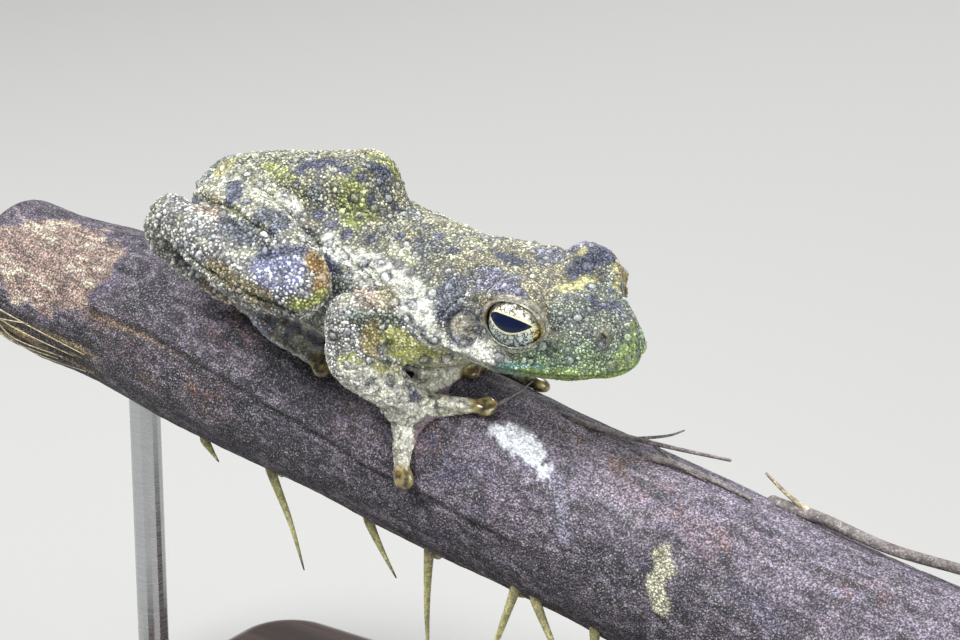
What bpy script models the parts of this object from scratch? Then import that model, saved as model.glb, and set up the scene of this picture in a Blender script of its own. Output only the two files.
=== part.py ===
"""African foam nest tree frog, life size, gripping a short cut length of its branch on a plain stand.

The solids are worked out in millimetres and turned into metres as each node is finished. The branch
has a frame of its own: along it towards the frog's snout, across it to the frog's left, and up.
"""

import math
from collections import namedtuple

import bmesh
import bpy
from mathutils import Euler, Matrix, Vector

MM = 0.001
TOUCH_GAP = 0.3
WELDS = (0.003, 0.0015, 0.0008, 0.0004, 0.0002)
GAP_EXTRAS = (0.0, 0.013, 0.029, 0.047, 0.07)

# The branch and how it slopes, towards the snout. Heights are above the underside of the base.
BRANCH_RADIUS = 9.9
BRANCH_SLOPE = math.radians(10.6)
BRANCH_MIDDLE = Vector((-8.0, 0.0, 48.0))
BRANCH_BACK_END = -57.0
BRANCH_FRONT_END = 74.0
BRANCH_SIDES = 18
BRANCH_RINGS = 20
THIN_END_DROP = 4.2
THIN_END_START = -30.0
THORN_SIDES = 3
THORN_ROOT = 0.85

# The stand.
BASE_LENGTH = 104.0
BASE_WIDTH = 62.0
BASE_HEIGHT = 6.0
BASE_CORNER = 9.0
BASE_EDGE = 1.2
ROD_RADIUS = 1.75
ROD_PLACES = (-38.0, 44.0)
COLLAR_RADIUS = 4.0
COLLAR_HEIGHT = 3.0

# The head: its middle lies between the eyes, and its own frame runs to the snout, left and up.
HEAD_MIDDLE = (15.1, -0.6, 22.65)
HEAD_YAW = math.radians(-7.7)
HEAD_RISE = math.radians(3.7)
HEAD_ROLL = math.radians(7.4)
NECK_CUT = -9.6
EYE_PLACE = (-0.45, 5.5, 0.4)
EYE_RADIUS = 3.1
EYE_GAZE = (0.38, 0.86, 0.30)
LID_RADIUS = 3.7
LID_OPENING = 2.5
LID_RIM = 0.42
EARDRUM_PLACE = (-5.4, -2.0)
EARDRUM_RADIUS = 1.6
EARDRUM_DEPTH = 1.0
EAR_RIM = 0.4
EAR_TILT = 0.3
EAR_FOLD = ((-3.0, 0.9), (-6.0, 0.9), (-8.4, -0.9), (-9.6, -3.6), (-10.6, -6.0))
NOSTRIL_PLACE = (8.1, -0.1)
NOSTRIL_RADIUS = 0.42
MOUTH_FRONT_LEVEL = -4.0
MOUTH_CORNER = (-7.6, -4.7)
LIP_RADIUS = 0.5
LIP_RISE = 0.65
LIP_SUNK = 0.25
LIP_FRONT = 9.25
HEAD_SQUARE = 2.25

Section = namedtuple("Section", "along half_width top bottom middle")
Station = namedtuple("Station", "point half_width half_height")

HEAD_SECTIONS = (
    Section(-14.0, 6.8, 1.4, -9.0, -3.4),
    Section(-9.5, 8.7, 2.2, -7.9, -3.6),
    Section(-5.5, 9.3, 2.4, -7.3, -3.9),
    Section(-1.0, 8.9, 2.5, -6.9, -4.1),
    Section(3.0, 7.4, 2.4, -6.4, -4.0),
    Section(5.8, 5.9, 1.9, -5.9, -3.7),
    Section(7.4, 4.8, 1.3, -5.3, -3.6),
    Section(8.5, 3.9, 0.3, -5.1, -3.8),
    Section(9.2, 2.8, -1.4, -4.9, -3.8),
)
TRUNK_SECTIONS = (
    Section(-31.2, 1.8, 19.2, 15.4, 17.2),
    Section(-29.0, 4.0, 20.8, 13.2, 17.2),
    Section(-25.0, 5.8, 22.4, 11.0, 17.0),
    Section(-20.0, 7.0, 23.6, 9.4, 16.8),
    Section(-15.0, 8.0, 24.4, 8.6, 16.6),
    Section(-10.0, 8.7, 24.6, 8.4, 16.5),
    Section(-5.0, 9.0, 24.1, 8.4, 16.6),
    Section(0.0, 8.8, 24.3, 8.6, 17.0),
    Section(5.0, 8.2, 24.4, 10.6, 18.0),
    Section(9.0, 6.8, 23.6, 14.6, 18.6),
)
HIP_SECTIONS = (
    Section(-29.6, 2.6, 21.4, 16.0, 18.5),
    Section(-25.0, 4.3, 23.6, 17.0, 20.0),
    Section(-19.0, 5.0, 25.9, 18.0, 21.5),
    Section(-14.6, 5.2, 27.5, 18.0, 23.0),
    Section(-10.6, 4.9, 28.7, 18.0, 24.0),
    Section(-8.6, 4.2, 27.7, 18.0, 23.6),
    Section(-6.8, 3.3, 25.6, 19.0, 23.0),
    Section(-5.0, 2.2, 23.9, 20.0, 22.6),
)

COLOURS = {
    "skin_grey": (0.30, 0.31, 0.22, 0.62),
    "skin_green": (0.30, 0.42, 0.16, 0.55),
    "skin_hip": (0.38, 0.42, 0.20, 0.62),
    "skin_limb": (0.36, 0.37, 0.28, 0.62),
    "skin_digit": (0.52, 0.47, 0.30, 0.45),
    "eardrum": (0.22, 0.19, 0.14, 0.5),
    "eye": (0.75, 0.74, 0.62, 0.12),
    "bark": (0.16, 0.11, 0.12, 0.75),
    "rod": (0.55, 0.56, 0.58, 0.32),
    "base": (0.06, 0.05, 0.05, 0.4),
}


FINISHES = (
    ("head", "skin_green"),
    ("lower_jaw", "skin_green"),
    ("torso", "skin_grey"),
    ("rump", "skin_hip"),
    ("hand", "skin_digit"),
    ("foot", "skin_digit"),
    ("eardrum", "eardrum"),
    ("eye", "eye"),
)


def clear_scene():
    for item in list(bpy.data.objects):
        bpy.data.objects.remove(item, do_unlink=True)


def material(name):
    """The named finish, made once."""
    found = bpy.data.materials.get(name)
    if found:
        return found
    red, green, blue, rough = COLOURS[name]
    made = bpy.data.materials.new(name)
    made.use_nodes = True
    shader = made.node_tree.nodes["Principled BSDF"]
    shader.inputs["Base Color"].default_value = (red, green, blue, 1.0)
    shader.inputs["Roughness"].default_value = rough
    shader.inputs["Metallic"].default_value = 1.0 if name == "rod" else 0.0
    made.diffuse_color = (red, green, blue, 1.0)
    return made


def branch_frame():
    """Matrix from the branch's along, across and up to the part's frame, in millimetres."""
    return Matrix.Translation(BRANCH_MIDDLE) @ Matrix.Rotation(BRANCH_SLOPE, 4, "Y")


def head_frame():
    """Matrix from the head's forward, left and up to the part's frame."""
    turn = Euler((HEAD_ROLL, -HEAD_RISE, HEAD_YAW), "XYZ").to_matrix().to_4x4()
    return branch_frame() @ Matrix.Translation(HEAD_MIDDLE) @ turn


def thin_end(along):
    """How far the top of the branch has dropped where it thins towards its back end."""
    share = min(max((THIN_END_START - along) / 22.0, 0.0), 1.0)
    return THIN_END_DROP * share * share * (3.0 - 2.0 * share)


def branch_ring(along, grow=0.0):
    """Centre height and radius of the branch at one place along it."""
    drop = thin_end(along)
    swell = 0.35 * math.exp(-((along + 47.0) / 5.0) ** 2)
    radius = BRANCH_RADIUS - 0.5 * drop + swell + 0.12 * math.sin(along * 0.21)
    return -0.5 * drop, radius + grow


def round_branch(along, turn, height):
    """A point above the branch's surface, turned from its ridge towards the frog's right."""
    centre, radius = branch_ring(along)
    angle = math.radians(turn)
    reach = radius + height
    return Vector((along, -reach * math.sin(angle), centre + reach * math.cos(angle)))


def new_object(name, bm, frame=None):
    """A mesh object from a bmesh, in the part's frame."""
    if frame is not None:
        bmesh.ops.transform(bm, matrix=frame, verts=bm.verts)
    bmesh.ops.recalc_face_normals(bm, faces=bm.faces)
    mesh = bpy.data.meshes.new(name)
    bm.to_mesh(mesh)
    bm.free()
    made = bpy.data.objects.new(name, mesh)
    bpy.context.collection.objects.link(made)
    return made


def skin_rings(bm, rings, start_pole, end_pole):
    """Close a stack of rings of points into a body with a pole at each end."""
    rows = [[bm.verts.new(point) for point in ring] for ring in rings]
    count = len(rows[0])
    for lower, upper in zip(rows, rows[1:]):
        for k in range(count):
            n = (k + 1) % count
            bm.faces.new((lower[k], lower[n], upper[n], upper[k]))
    for row, pole in ((rows[0], start_pole), (rows[-1], end_pole)):
        tip = bm.verts.new(pole)
        for k in range(count):
            bm.faces.new((row[k], row[(k + 1) % count], tip))


def between(values, share):
    """Catmull-Rom value between the middle two of four."""
    a, b, c, d = values
    return 0.5 * (2.0 * b + (c - a) * share + (2.0 * a - 5.0 * b + 4.0 * c - d) * share ** 2
                  + (3.0 * b - a - 3.0 * c + d) * share ** 3)


def refine(rows, steps):
    """Rows of numbers with smooth rows added between them."""
    padded = [rows[0]] + list(rows) + [rows[-1]]
    out = []
    for first in range(len(rows) - 1):
        four = padded[first:first + 4]
        for step in range(steps):
            out.append([between(column, step / steps) for column in zip(*four)])
    out.append(list(rows[-1]))
    return out


def signed_power(value, power):
    return math.copysign(abs(value) ** power, value)


def body_loft(name, sections, frame, sides, steps, square=2.3, grow=0.0):
    """A closed body through upright sections, each rounder or squarer than an ellipse by `square`."""
    bm = bmesh.new()
    rings = []
    rows = refine([tuple(section) for section in sections], steps)
    for along, half_width, top, bottom, middle in rows:
        ring = []
        for k in range(sides):
            angle = 2.0 * math.pi * k / sides
            across = signed_power(math.cos(angle), 2.0 / square)
            rise = signed_power(math.sin(angle), 2.0 / square)
            reach = (top - middle if rise > 0.0 else middle - bottom) + grow
            ring.append(Vector((along, (half_width + grow) * across, middle + reach * rise)))
        rings.append(ring)
    poles = []
    for row, side in ((rows[0], -1.0), (rows[-1], 1.0)):
        poles.append(Vector((row[0] + side * (0.4 * row[1] + grow), 0.0, row[4])))
    skin_rings(bm, rings, poles[0], poles[1])
    return new_object(name, bm, frame)


def limb(name, stations, frame, sides, steps, flat_on_branch=False, grow=0.0):
    """A closed round-ended length through stations, each with its own width and height."""
    rows = refine([(*s.point, s.half_width, s.half_height) for s in stations], steps)
    points = [Vector(row[:3]) for row in rows]
    rings = []
    ends = []
    for index, row in enumerate(rows):
        ahead = points[min(index + 1, len(points) - 1)] - points[max(index - 1, 0)]
        ahead.normalize()
        centre = points[index]
        up = Vector((0.0, centre.y, centre.z)) if flat_on_branch else Vector((0.0, 0.0, 1.0))
        side = up.cross(ahead).normalized()
        up = ahead.cross(side).normalized()
        rings.append((centre, ahead, side, up, row[3] + grow, row[4] + grow))
    domes = []
    for index, direction in ((0, -1.0), (-1, 1.0)):
        centre, ahead, side, up, wide, high = rings[index]
        reach = 0.5 * (wide + high)
        dome = []
        for turn in (0.35, 0.7):
            shrink = math.cos(turn * math.pi / 2.0)
            moved = centre + ahead * direction * reach * math.sin(turn * math.pi / 2.0)
            dome.append((moved, ahead, side, up, wide * shrink, high * shrink))
        domes.append(dome)
        ends.append(centre + ahead * direction * reach)
    stack = domes[0][::-1] + rings + domes[1]
    bm = bmesh.new()
    loops = []
    for centre, _, side, up, wide, high in stack:
        loop = []
        for k in range(sides):
            angle = 2.0 * math.pi * (k + 0.5) / sides
            loop.append(centre + side * wide * math.cos(angle) + up * high * math.sin(angle))
        loops.append(loop)
    skin_rings(bm, loops, ends[0], ends[1])
    return new_object(name, bm, frame)


def ball(name, centre, radii, frame, around=20, rows=10, turn=None):
    """An ellipsoid with its poles up and down its own frame, or along `turn`."""
    bm = bmesh.new()
    bmesh.ops.create_uvsphere(bm, u_segments=around, v_segments=rows, radius=1.0)
    place = Matrix.Translation(centre)
    if turn is not None:
        place = place @ Vector(turn).to_track_quat("Z", "Y").to_matrix().to_4x4()
    shape = Matrix.Diagonal((*radii, 1.0))
    bmesh.ops.transform(bm, matrix=place @ shape, verts=bm.verts)
    return new_object(name, bm, frame)


def drum(name, start, axis, radius, length, frame, sides=24):
    """A cylinder from a point along an axis."""
    axis = Vector(axis).normalized()
    bm = bmesh.new()
    bmesh.ops.create_cone(bm, cap_ends=True, segments=sides, radius1=radius, radius2=radius, depth=length)
    turn = axis.to_track_quat("Z", "Y").to_matrix().to_4x4()
    place = Matrix.Translation(Vector(start) + axis * length / 2.0) @ turn
    bmesh.ops.transform(bm, matrix=place, verts=bm.verts)
    return new_object(name, bm, frame)


def ring_tube(name, centre, axis, radius, tube, frame, around=20, sides=8, stretch=1.0):
    """A closed hoop about an axis, such as the rim of a lid."""
    turn = Vector(axis).to_track_quat("Z", "Y").to_matrix().to_4x4()
    place = Matrix.Translation(centre) @ turn @ Matrix.Diagonal((stretch, 1.0, 1.0, 1.0))
    bm = bmesh.new()
    rows = []
    for i in range(around):
        main = 2.0 * math.pi * i / around
        row = []
        for k in range(sides):
            angle = 2.0 * math.pi * k / sides
            reach = radius + tube * math.cos(angle)
            point = Vector((reach * math.cos(main), reach * math.sin(main), tube * math.sin(angle)))
            row.append(bm.verts.new(place @ point))
        rows.append(row)
    for i in range(around):
        for k in range(sides):
            n = (i + 1) % around
            m = (k + 1) % sides
            bm.faces.new((rows[i][k], rows[n][k], rows[n][m], rows[i][m]))
    return new_object(name, bm, frame)


def evaluated_copy(item):
    """Replace an object's mesh by what its modifiers make of it."""
    graph = bpy.context.evaluated_depsgraph_get()
    mesh = bpy.data.meshes.new_from_object(item.evaluated_get(graph))
    item.modifiers.clear()
    item.data = mesh


def discard(items):
    for item in items:
        bpy.data.objects.remove(item, do_unlink=True)


def joined(name, items):
    """One object holding the meshes of several, which are removed."""
    bm = bmesh.new()
    for item in items:
        bm.from_mesh(item.data)
    made = new_object(name, bm)
    discard(items)
    return made


def melt(name, items, voxel, smooth, triangles):
    """Fuse closed shapes into one soft skin, and thin it to about so many triangles."""
    made = joined(name, items)
    remesh = made.modifiers.new("fuse", "REMESH")
    remesh.mode = "VOXEL"
    remesh.voxel_size = voxel
    evaluated_copy(made)
    soften = made.modifiers.new("soften", "SMOOTH")
    soften.factor = 0.5
    soften.iterations = smooth
    evaluated_copy(made)
    keep_largest(made)
    faces = sum(len(face.vertices) - 2 for face in made.data.polygons)
    thin = made.modifiers.new("thin", "DECIMATE")
    thin.ratio = min(1.0, triangles / faces)
    evaluated_copy(made)
    return made


def keep_largest(item):
    """Keep only the largest closed surface of an object, and return the others' count."""
    bm = bmesh.new()
    bm.from_mesh(item.data)
    bm.verts.ensure_lookup_table()
    seen = set()
    groups = []
    for start in bm.verts:
        if start.index in seen:
            continue
        seen.add(start.index)
        group = [start]
        for vert in group:
            for edge in vert.link_edges:
                other = edge.other_vert(vert)
                if other.index not in seen:
                    seen.add(other.index)
                    group.append(other)
        groups.append(group)
    groups.sort(key=len, reverse=True)
    spare = [vert for group in groups[1:] for vert in group]
    bmesh.ops.delete(bm, geom=spare, context="VERTS")
    bm.to_mesh(item.data)
    bm.free()
    return len(groups) - 1


def combine(item, operation, others, solver="EXACT"):
    """Apply one Boolean of a set of closed objects, which are removed, to an object."""
    group = bpy.data.collections.new("tools")
    bpy.context.scene.collection.children.link(group)
    for other in others:
        group.objects.link(other)
    step = item.modifiers.new("combine", "BOOLEAN")
    step.operation = operation
    step.operand_type = "COLLECTION"
    step.collection = group
    step.solver = solver
    evaluated_copy(item)
    discard(others)
    bpy.data.collections.remove(group)
    return item


def welded(item):
    """An object's mesh in triangles, with its nearest points made one where that keeps it closed."""
    for distance in WELDS:
        bm = bmesh.new()
        bm.from_mesh(item.data)
        bmesh.ops.remove_doubles(bm, verts=bm.verts, dist=distance)
        bmesh.ops.dissolve_degenerate(bm, dist=distance, edges=bm.edges)
        bmesh.ops.triangulate(bm, faces=bm.faces)
        if is_closed(bm):
            return bm
        bm.free()
    bm = bmesh.new()
    bm.from_mesh(item.data)
    bmesh.ops.remove_doubles(bm, verts=bm.verts, dist=WELDS[-1])
    bmesh.ops.triangulate(bm, faces=bm.faces)
    return bm


def is_closed(bm):
    """Whether every edge of a mesh has two faces."""
    return all(len(edge.link_faces) == 2 for edge in bm.edges)


def copy_of(item, name):
    made = item.copy()
    made.data = item.data.copy()
    made.name = name
    bpy.context.collection.objects.link(made)
    return made


def grown(item, distance=TOUCH_GAP):
    """A copy of a solid swollen along its normals, to cut a neighbour clear of it."""
    made = copy_of(item, "grown")
    bm = welded(item)
    bm.normal_update()
    moves = []
    for vert in bm.verts:
        factor = min(max(vert.calc_shell_factor(), 1.0), 1.6)
        moves.append((vert, vert.normal.copy() * distance * factor))
    for vert, move in moves:
        vert.co += move
    bm.to_mesh(made.data)
    bm.free()
    return made


def cut_clear(item, neighbours):
    """Cut an object clear of its neighbours and the branch by the touch gap.

    A cut that leaves two edges in one place is made again with a slightly wider gap.
    """
    uncut = item.data
    for extra in GAP_EXTRAS:
        item.data = uncut.copy()
        tools = [grown(other, TOUCH_GAP + extra) for other in neighbours] + [branch_core()]
        combine(item, "DIFFERENCE", tools, "MANIFOLD")
        keep_largest(item)
        bm = welded(item)
        closed = is_closed(bm)
        bm.free()
        if closed:
            return
    raise RuntimeError(f"{item.name} isn't closed")


def finish(item, finish_name, smooth_angle=40.0):
    """Turn a node into metres with clean triangles, its finish and its shading."""
    bm = welded(item)
    bmesh.ops.scale(bm, vec=(MM, MM, MM), verts=bm.verts)
    bm.to_mesh(item.data)
    bm.free()
    item.data.shade_smooth()
    item.data.set_sharp_from_angle(angle=math.radians(smooth_angle))
    item.data.materials.clear()
    item.data.materials.append(material(finish_name))
    return item


# The branch and the stand

def thorn(number, along, turn, lean, drop):
    """A thorn that hangs from the branch: how far its tip leans along the branch, and drops."""
    root = round_branch(along, turn, -1.6)
    mouth = round_branch(along, turn, 0.1)
    tip = mouth + Vector((lean, 0.06 * mouth.y, -drop))
    out = (tip - mouth).normalized()
    side = out.cross(Vector((0.0, 1.0, 0.0))).normalized()
    up = side.cross(out)
    bm = bmesh.new()
    rings = []
    for centre, radius in ((root, 0.8 * THORN_ROOT), (mouth, THORN_ROOT)):
        ring = []
        for k in range(THORN_SIDES):
            angle = 2.0 * math.pi * k / THORN_SIDES
            ring.append(centre + side * radius * math.cos(angle) + up * radius * math.sin(angle))
        rings.append(ring)
    skin_rings(bm, rings, root - out * 0.2, tip)
    return new_object(f"thorn_{number}", bm, branch_frame())


# Where the thorns stand: along the branch, turned from its ridge, and how far each leans and drops.
THORNS = (
    (-23.2, 151.0, 2.4, 1.6),
    (-13.8, 150.0, 6.3, 9.4),
    (-0.4, 150.0, 4.7, 4.8),
    (8.4, 142.0, 2.6, 13.0),
    (19.9, 134.0, -2.0, 12.0),
    (22.5, 134.0, 6.0, 7.2),
    (29.9, 134.0, 2.2, 7.5),
    (41.0, 196.0, 2.5, 8.0),
    (53.0, 165.0, -2.0, 7.0),
    (3.5, 222.0, 2.0, 7.5),
    (-19.0, 214.0, -2.0, 6.5),
    (64.0, 150.0, 2.5, 6.5),
)

# Dry stems that lie along the branch: points along it, turned from its ridge, and above it.
STEMS = (
    ((17.5, -5.0, 0.1), (23.0, -4.0, 0.6), (29.0, -8.0, 1.3), (36.0, -12.0, 2.4)),
    ((41.0, -24.0, -0.2), (47.0, -16.0, 0.8), (55.0, -12.0, 1.2), (64.0, -14.0, 2.2), (72.0, -18.0, 2.6)),
)
STEM_RADII = (0.42, 0.62)


def build_branch():
    frame = branch_frame()
    bm = bmesh.new()
    rings = []
    span = BRANCH_FRONT_END - BRANCH_BACK_END
    places = [BRANCH_BACK_END + span * k / BRANCH_RINGS for k in range(BRANCH_RINGS + 1)]
    for index, along in enumerate(places):
        centre, radius = branch_ring(along)
        ring = []
        for k in range(BRANCH_SIDES):
            angle = 2.0 * math.pi * k / BRANCH_SIDES
            ring.append(Vector((along, radius * math.cos(angle), centre + radius * math.sin(angle))))
        rings.append(ring)
    back, _ = branch_ring(BRANCH_BACK_END)
    front, _ = branch_ring(BRANCH_FRONT_END)
    skin_rings(bm, rings, Vector((BRANCH_BACK_END, 0.0, back)), Vector((BRANCH_FRONT_END, 0.0, front)))
    branch = new_object("stand_perch", bm, frame)
    extras = [thorn(number, *values) for number, values in enumerate(THORNS)]
    for number, (route, radius) in enumerate(zip(STEMS, STEM_RADII)):
        stations = []
        for along, turn, height in route:
            stations.append(Station(round_branch(along, turn, height), radius, radius))
        extras.append(limb(f"stem_{number}", stations, frame, 6, 3))
    combine(branch, "UNION", extras)
    keep_largest(branch)
    return finish(branch, "bark")


def rod_place(along):
    """Where a rod stands on the base."""
    middle = branch_frame() @ Vector((along, 0.0, 0.0))
    return middle.x


def build_stand(branch):
    """The base, and each rod with its collar."""
    bm = bmesh.new()
    bmesh.ops.create_cube(bm, size=1.0)
    bmesh.ops.scale(bm, vec=(BASE_LENGTH, BASE_WIDTH, BASE_HEIGHT), verts=bm.verts)
    bmesh.ops.translate(bm, vec=(0.0, 0.0, BASE_HEIGHT / 2.0), verts=bm.verts)
    upright = [edge for edge in bm.edges if abs(edge.verts[0].co.z - edge.verts[1].co.z) > 1.0]
    bmesh.ops.bevel(bm, geom=upright, offset=BASE_CORNER, segments=5, affect="EDGES", profile=0.5)
    rim = [edge for edge in bm.edges if min(v.co.z for v in edge.verts) > BASE_HEIGHT - 0.1]
    bmesh.ops.bevel(bm, geom=rim, offset=BASE_EDGE, segments=2, affect="EDGES", profile=0.5)
    finish(new_object("stand_base", bm), "base", 30.0)
    floor = BASE_HEIGHT + TOUCH_GAP
    for side, along in zip(("back", "front"), ROD_PLACES):
        place = rod_place(along)
        top = (branch_frame() @ Vector((along, 0.0, 0.0))).z
        rod = drum(f"stand_rod_{side}", (place, 0.0, floor), (0, 0, 1), ROD_RADIUS, top - floor, None, 16)
        combine(rod, "DIFFERENCE", [branch_core()])
        keep_largest(rod)
        finish(rod, "rod", 30.0)
        collar = drum(f"stand_collar_{side}", (place, 0.0, floor), (0, 0, 1), COLLAR_RADIUS, COLLAR_HEIGHT, None, 20)
        hole = drum("hole", (place, 0.0, 0.0), (0, 0, 1), ROD_RADIUS + TOUCH_GAP, 20.0, None, 20)
        combine(collar, "DIFFERENCE", [hole])
        finish(collar, "rod", 30.0)


def branch_core():
    """The bare branch swollen by the touch gap, to cut what rests on it."""
    bm = bmesh.new()
    rings = []
    span = BRANCH_FRONT_END - BRANCH_BACK_END
    for step in range(BRANCH_RINGS + 1):
        along = BRANCH_BACK_END + span * step / BRANCH_RINGS
        centre, radius = branch_ring(along, TOUCH_GAP + 0.05)
        ring = []
        for k in range(BRANCH_SIDES):
            angle = 2.0 * math.pi * k / BRANCH_SIDES
            ring.append(Vector((along, radius * math.cos(angle), centre + radius * math.sin(angle))))
        rings.append(ring)
    ends = (Vector((BRANCH_BACK_END - 1.0, 0.0, 0.0)), Vector((BRANCH_FRONT_END + 1.0, 0.0, 0.0)))
    skin_rings(bm, rings, ends[0], ends[1])
    return new_object("core", bm, branch_frame())


# The frog

def side_of(point, side):
    """A point given for the frog's left, moved to the side asked for: 1 left, -1 right."""
    return Vector((point[0], side * point[1], point[2]))


def mouth_level(forward):
    """Height of the line of the mouth in the head's frame."""
    share = (forward - MOUTH_CORNER[0]) / (11.0 - MOUTH_CORNER[0])
    share = min(max(share, 0.0), 1.0)
    return MOUTH_CORNER[1] + (MOUTH_FRONT_LEVEL - MOUTH_CORNER[1]) * share ** 1.4


def head_side(forward, level):
    """How far out the side of the head lies at a place along it and a height."""
    rows = refine([tuple(section) for section in HEAD_SECTIONS], 8)
    for back, front in zip(rows, rows[1:]):
        if back[0] <= forward <= front[0]:
            share = (forward - back[0]) / (front[0] - back[0])
            half, top, bottom, middle = (x + (y - x) * share for x, y in zip(back[1:], front[1:]))
            reach = top - middle if level > middle else middle - bottom
            rise = min(abs(level - middle) / reach, 1.0)
            return half * (1.0 - rise ** HEAD_SQUARE) ** (1.0 / HEAD_SQUARE)
    return 0.0


def on_head(forward, level, side, sunk=0.0):
    """A point on the side of the head: 1 left, -1 right."""
    return Vector((forward, side * (head_side(forward, level) - sunk), level))


def ear_axis(side):
    """The way an eardrum faces."""
    return Vector((0.0, side, EAR_TILT)).normalized()


def lips(frame):
    """The swollen edge of the upper jaw, from one corner of the mouth to the other."""
    half = []
    for forward in (MOUTH_CORNER[0], -4.0, 0.0, 4.0, 6.6, 8.4):
        half.append(on_head(forward, mouth_level(forward) + LIP_RISE, 1.0, LIP_SUNK))
    front = Vector((LIP_FRONT, 0.0, MOUTH_FRONT_LEVEL + LIP_RISE))
    mirrored = [Vector((point.x, -point.y, point.z)) for point in reversed(half)]
    stations = [Station(point, LIP_RADIUS, LIP_RADIUS) for point in half + [front] + mirrored]
    return limb("lips", stations, frame, 8, 3)


def build_head():
    frame = head_frame()
    pieces = [body_loft("skull", HEAD_SECTIONS, frame, 40, 4, HEAD_SQUARE)]
    for side in (1.0, -1.0):
        eye = side_of(EYE_PLACE, side)
        gaze = side_of(EYE_GAZE, side).normalized()
        pieces.append(ball("lid", eye, (LID_RADIUS, LID_RADIUS, LID_RADIUS), frame, 24, 14))
        rim_place = eye + gaze * math.sqrt(EYE_RADIUS ** 2 - LID_OPENING ** 2) * 1.18
        pieces.append(ring_tube("rim", rim_place, gaze, LID_OPENING + 0.25, LID_RIM, frame, 28, 8))
        ear = on_head(*EARDRUM_PLACE, side, EAR_RIM * 0.5)
        pieces.append(ring_tube("ear_rim", ear, ear_axis(side), EARDRUM_RADIUS + EAR_RIM, EAR_RIM, frame, 24, 8))
        nostril = on_head(*NOSTRIL_PLACE, side, 0.35)
        pieces.append(ball("nostril_rim", nostril, (0.85, 0.8, 0.75), frame, 12, 8))
        fold = [Station(on_head(*spot, side, 0.15), 0.62, 0.62) for spot in EAR_FOLD]
        pieces.append(limb("ear_fold", fold, frame, 8, 4))
    pieces.append(lips(frame))
    head = melt("head", pieces, 0.34, 2, 2000)
    return head


def eye_parts(head):
    """Cut the sockets, and set the eyeballs and eardrums in them."""
    frame = head_frame()
    made = []
    cutters = []
    for name, side in (("left", 1.0), ("right", -1.0)):
        eye = side_of(EYE_PLACE, side)
        gaze = side_of(EYE_GAZE, side).normalized()
        made.append(ball(f"eye_{name}", eye, (EYE_RADIUS,) * 3, frame, 22, 12, gaze))
        cutters.append(ball("socket", eye, (EYE_RADIUS + TOUCH_GAP,) * 3, frame, 22, 12, gaze))
        cutters.append(drum("opening", eye + gaze, gaze, LID_OPENING, 6.0, frame, 24))
        across = ear_axis(side)
        ear = on_head(*EARDRUM_PLACE, side)
        start = ear - across * EARDRUM_DEPTH
        made.append(drum(f"eardrum_{name}", start, across, EARDRUM_RADIUS, EARDRUM_DEPTH, frame, 18))
        start -= across * TOUCH_GAP
        cutters.append(drum("ear_well", start, across, EARDRUM_RADIUS + TOUCH_GAP, 4.0, frame, 18))
        out = Vector((0.45, side * 0.8, 0.35)).normalized()
        nostril = on_head(*NOSTRIL_PLACE, side) + out * 0.3
        cutters.append(ball("nostril", nostril, (NOSTRIL_RADIUS, NOSTRIL_RADIUS * 0.8, 0.8), frame, 8, 6, out))
    combine(head, "DIFFERENCE", cutters)
    keep_largest(head)
    return made


def mouth_sheet(thickness=TOUCH_GAP):
    """A thin curved cutter: back along the line of the mouth, then down behind the jaw."""
    frame = head_frame()
    profile = []
    for k in range(13):
        forward = 13.0 + (MOUTH_CORNER[0] - 13.0) * k / 12.0
        profile.append(Vector((forward, 0.0, mouth_level(forward))))
    profile.append(Vector((MOUTH_CORNER[0] - 0.9, 0.0, MOUTH_CORNER[1] - 0.9)))
    profile.append(Vector((MOUTH_CORNER[0] - 1.2, 0.0, -12.0)))
    bm = bmesh.new()
    rows = []
    for index, point in enumerate(profile):
        ahead = profile[min(index + 1, len(profile) - 1)] - profile[max(index - 1, 0)]
        normal = Vector((-ahead.z, 0.0, ahead.x)).normalized() * thickness / 2.0
        row = []
        for across, way in ((-14.0, 1.0), (14.0, 1.0), (14.0, -1.0), (-14.0, -1.0)):
            row.append(bm.verts.new(point + Vector((0.0, across, 0.0)) + normal * way))
        rows.append(row)
    for back, front in zip(rows, rows[1:]):
        for k in range(4):
            n = (k + 1) % 4
            bm.faces.new((back[k], back[n], front[n], front[k]))
    bm.faces.new(rows[0])
    bm.faces.new(rows[-1])
    return new_object("mouth_sheet", bm, frame)


def half_space(name, frame, start, axis, size=60.0):
    """A large box that begins at a plane and runs on along an axis."""
    axis = Vector(axis).normalized()
    bm = bmesh.new()
    bmesh.ops.create_cube(bm, size=size)
    turn = axis.to_track_quat("Z", "Y").to_matrix().to_4x4()
    place = Matrix.Translation(Vector(start) + axis * size / 2.0) @ turn
    bmesh.ops.transform(bm, matrix=place, verts=bm.verts)
    return new_object(name, bm, frame)


def part_head(head):
    """Cut the head behind the jaw, and part the lower jaw from it along the mouth."""
    frame = head_frame()
    combine(head, "DIFFERENCE", [half_space("behind", frame, (NECK_CUT, 0.0, 0.0), (-1.0, 0.0, 0.0))])
    jaw = copy_of(head, "lower_jaw")
    above = mouth_sheet()
    combine(head, "DIFFERENCE", [mouth_sheet()])
    combine(jaw, "DIFFERENCE", [above])
    split_off_jaw(head, jaw, frame)
    return jaw


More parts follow.
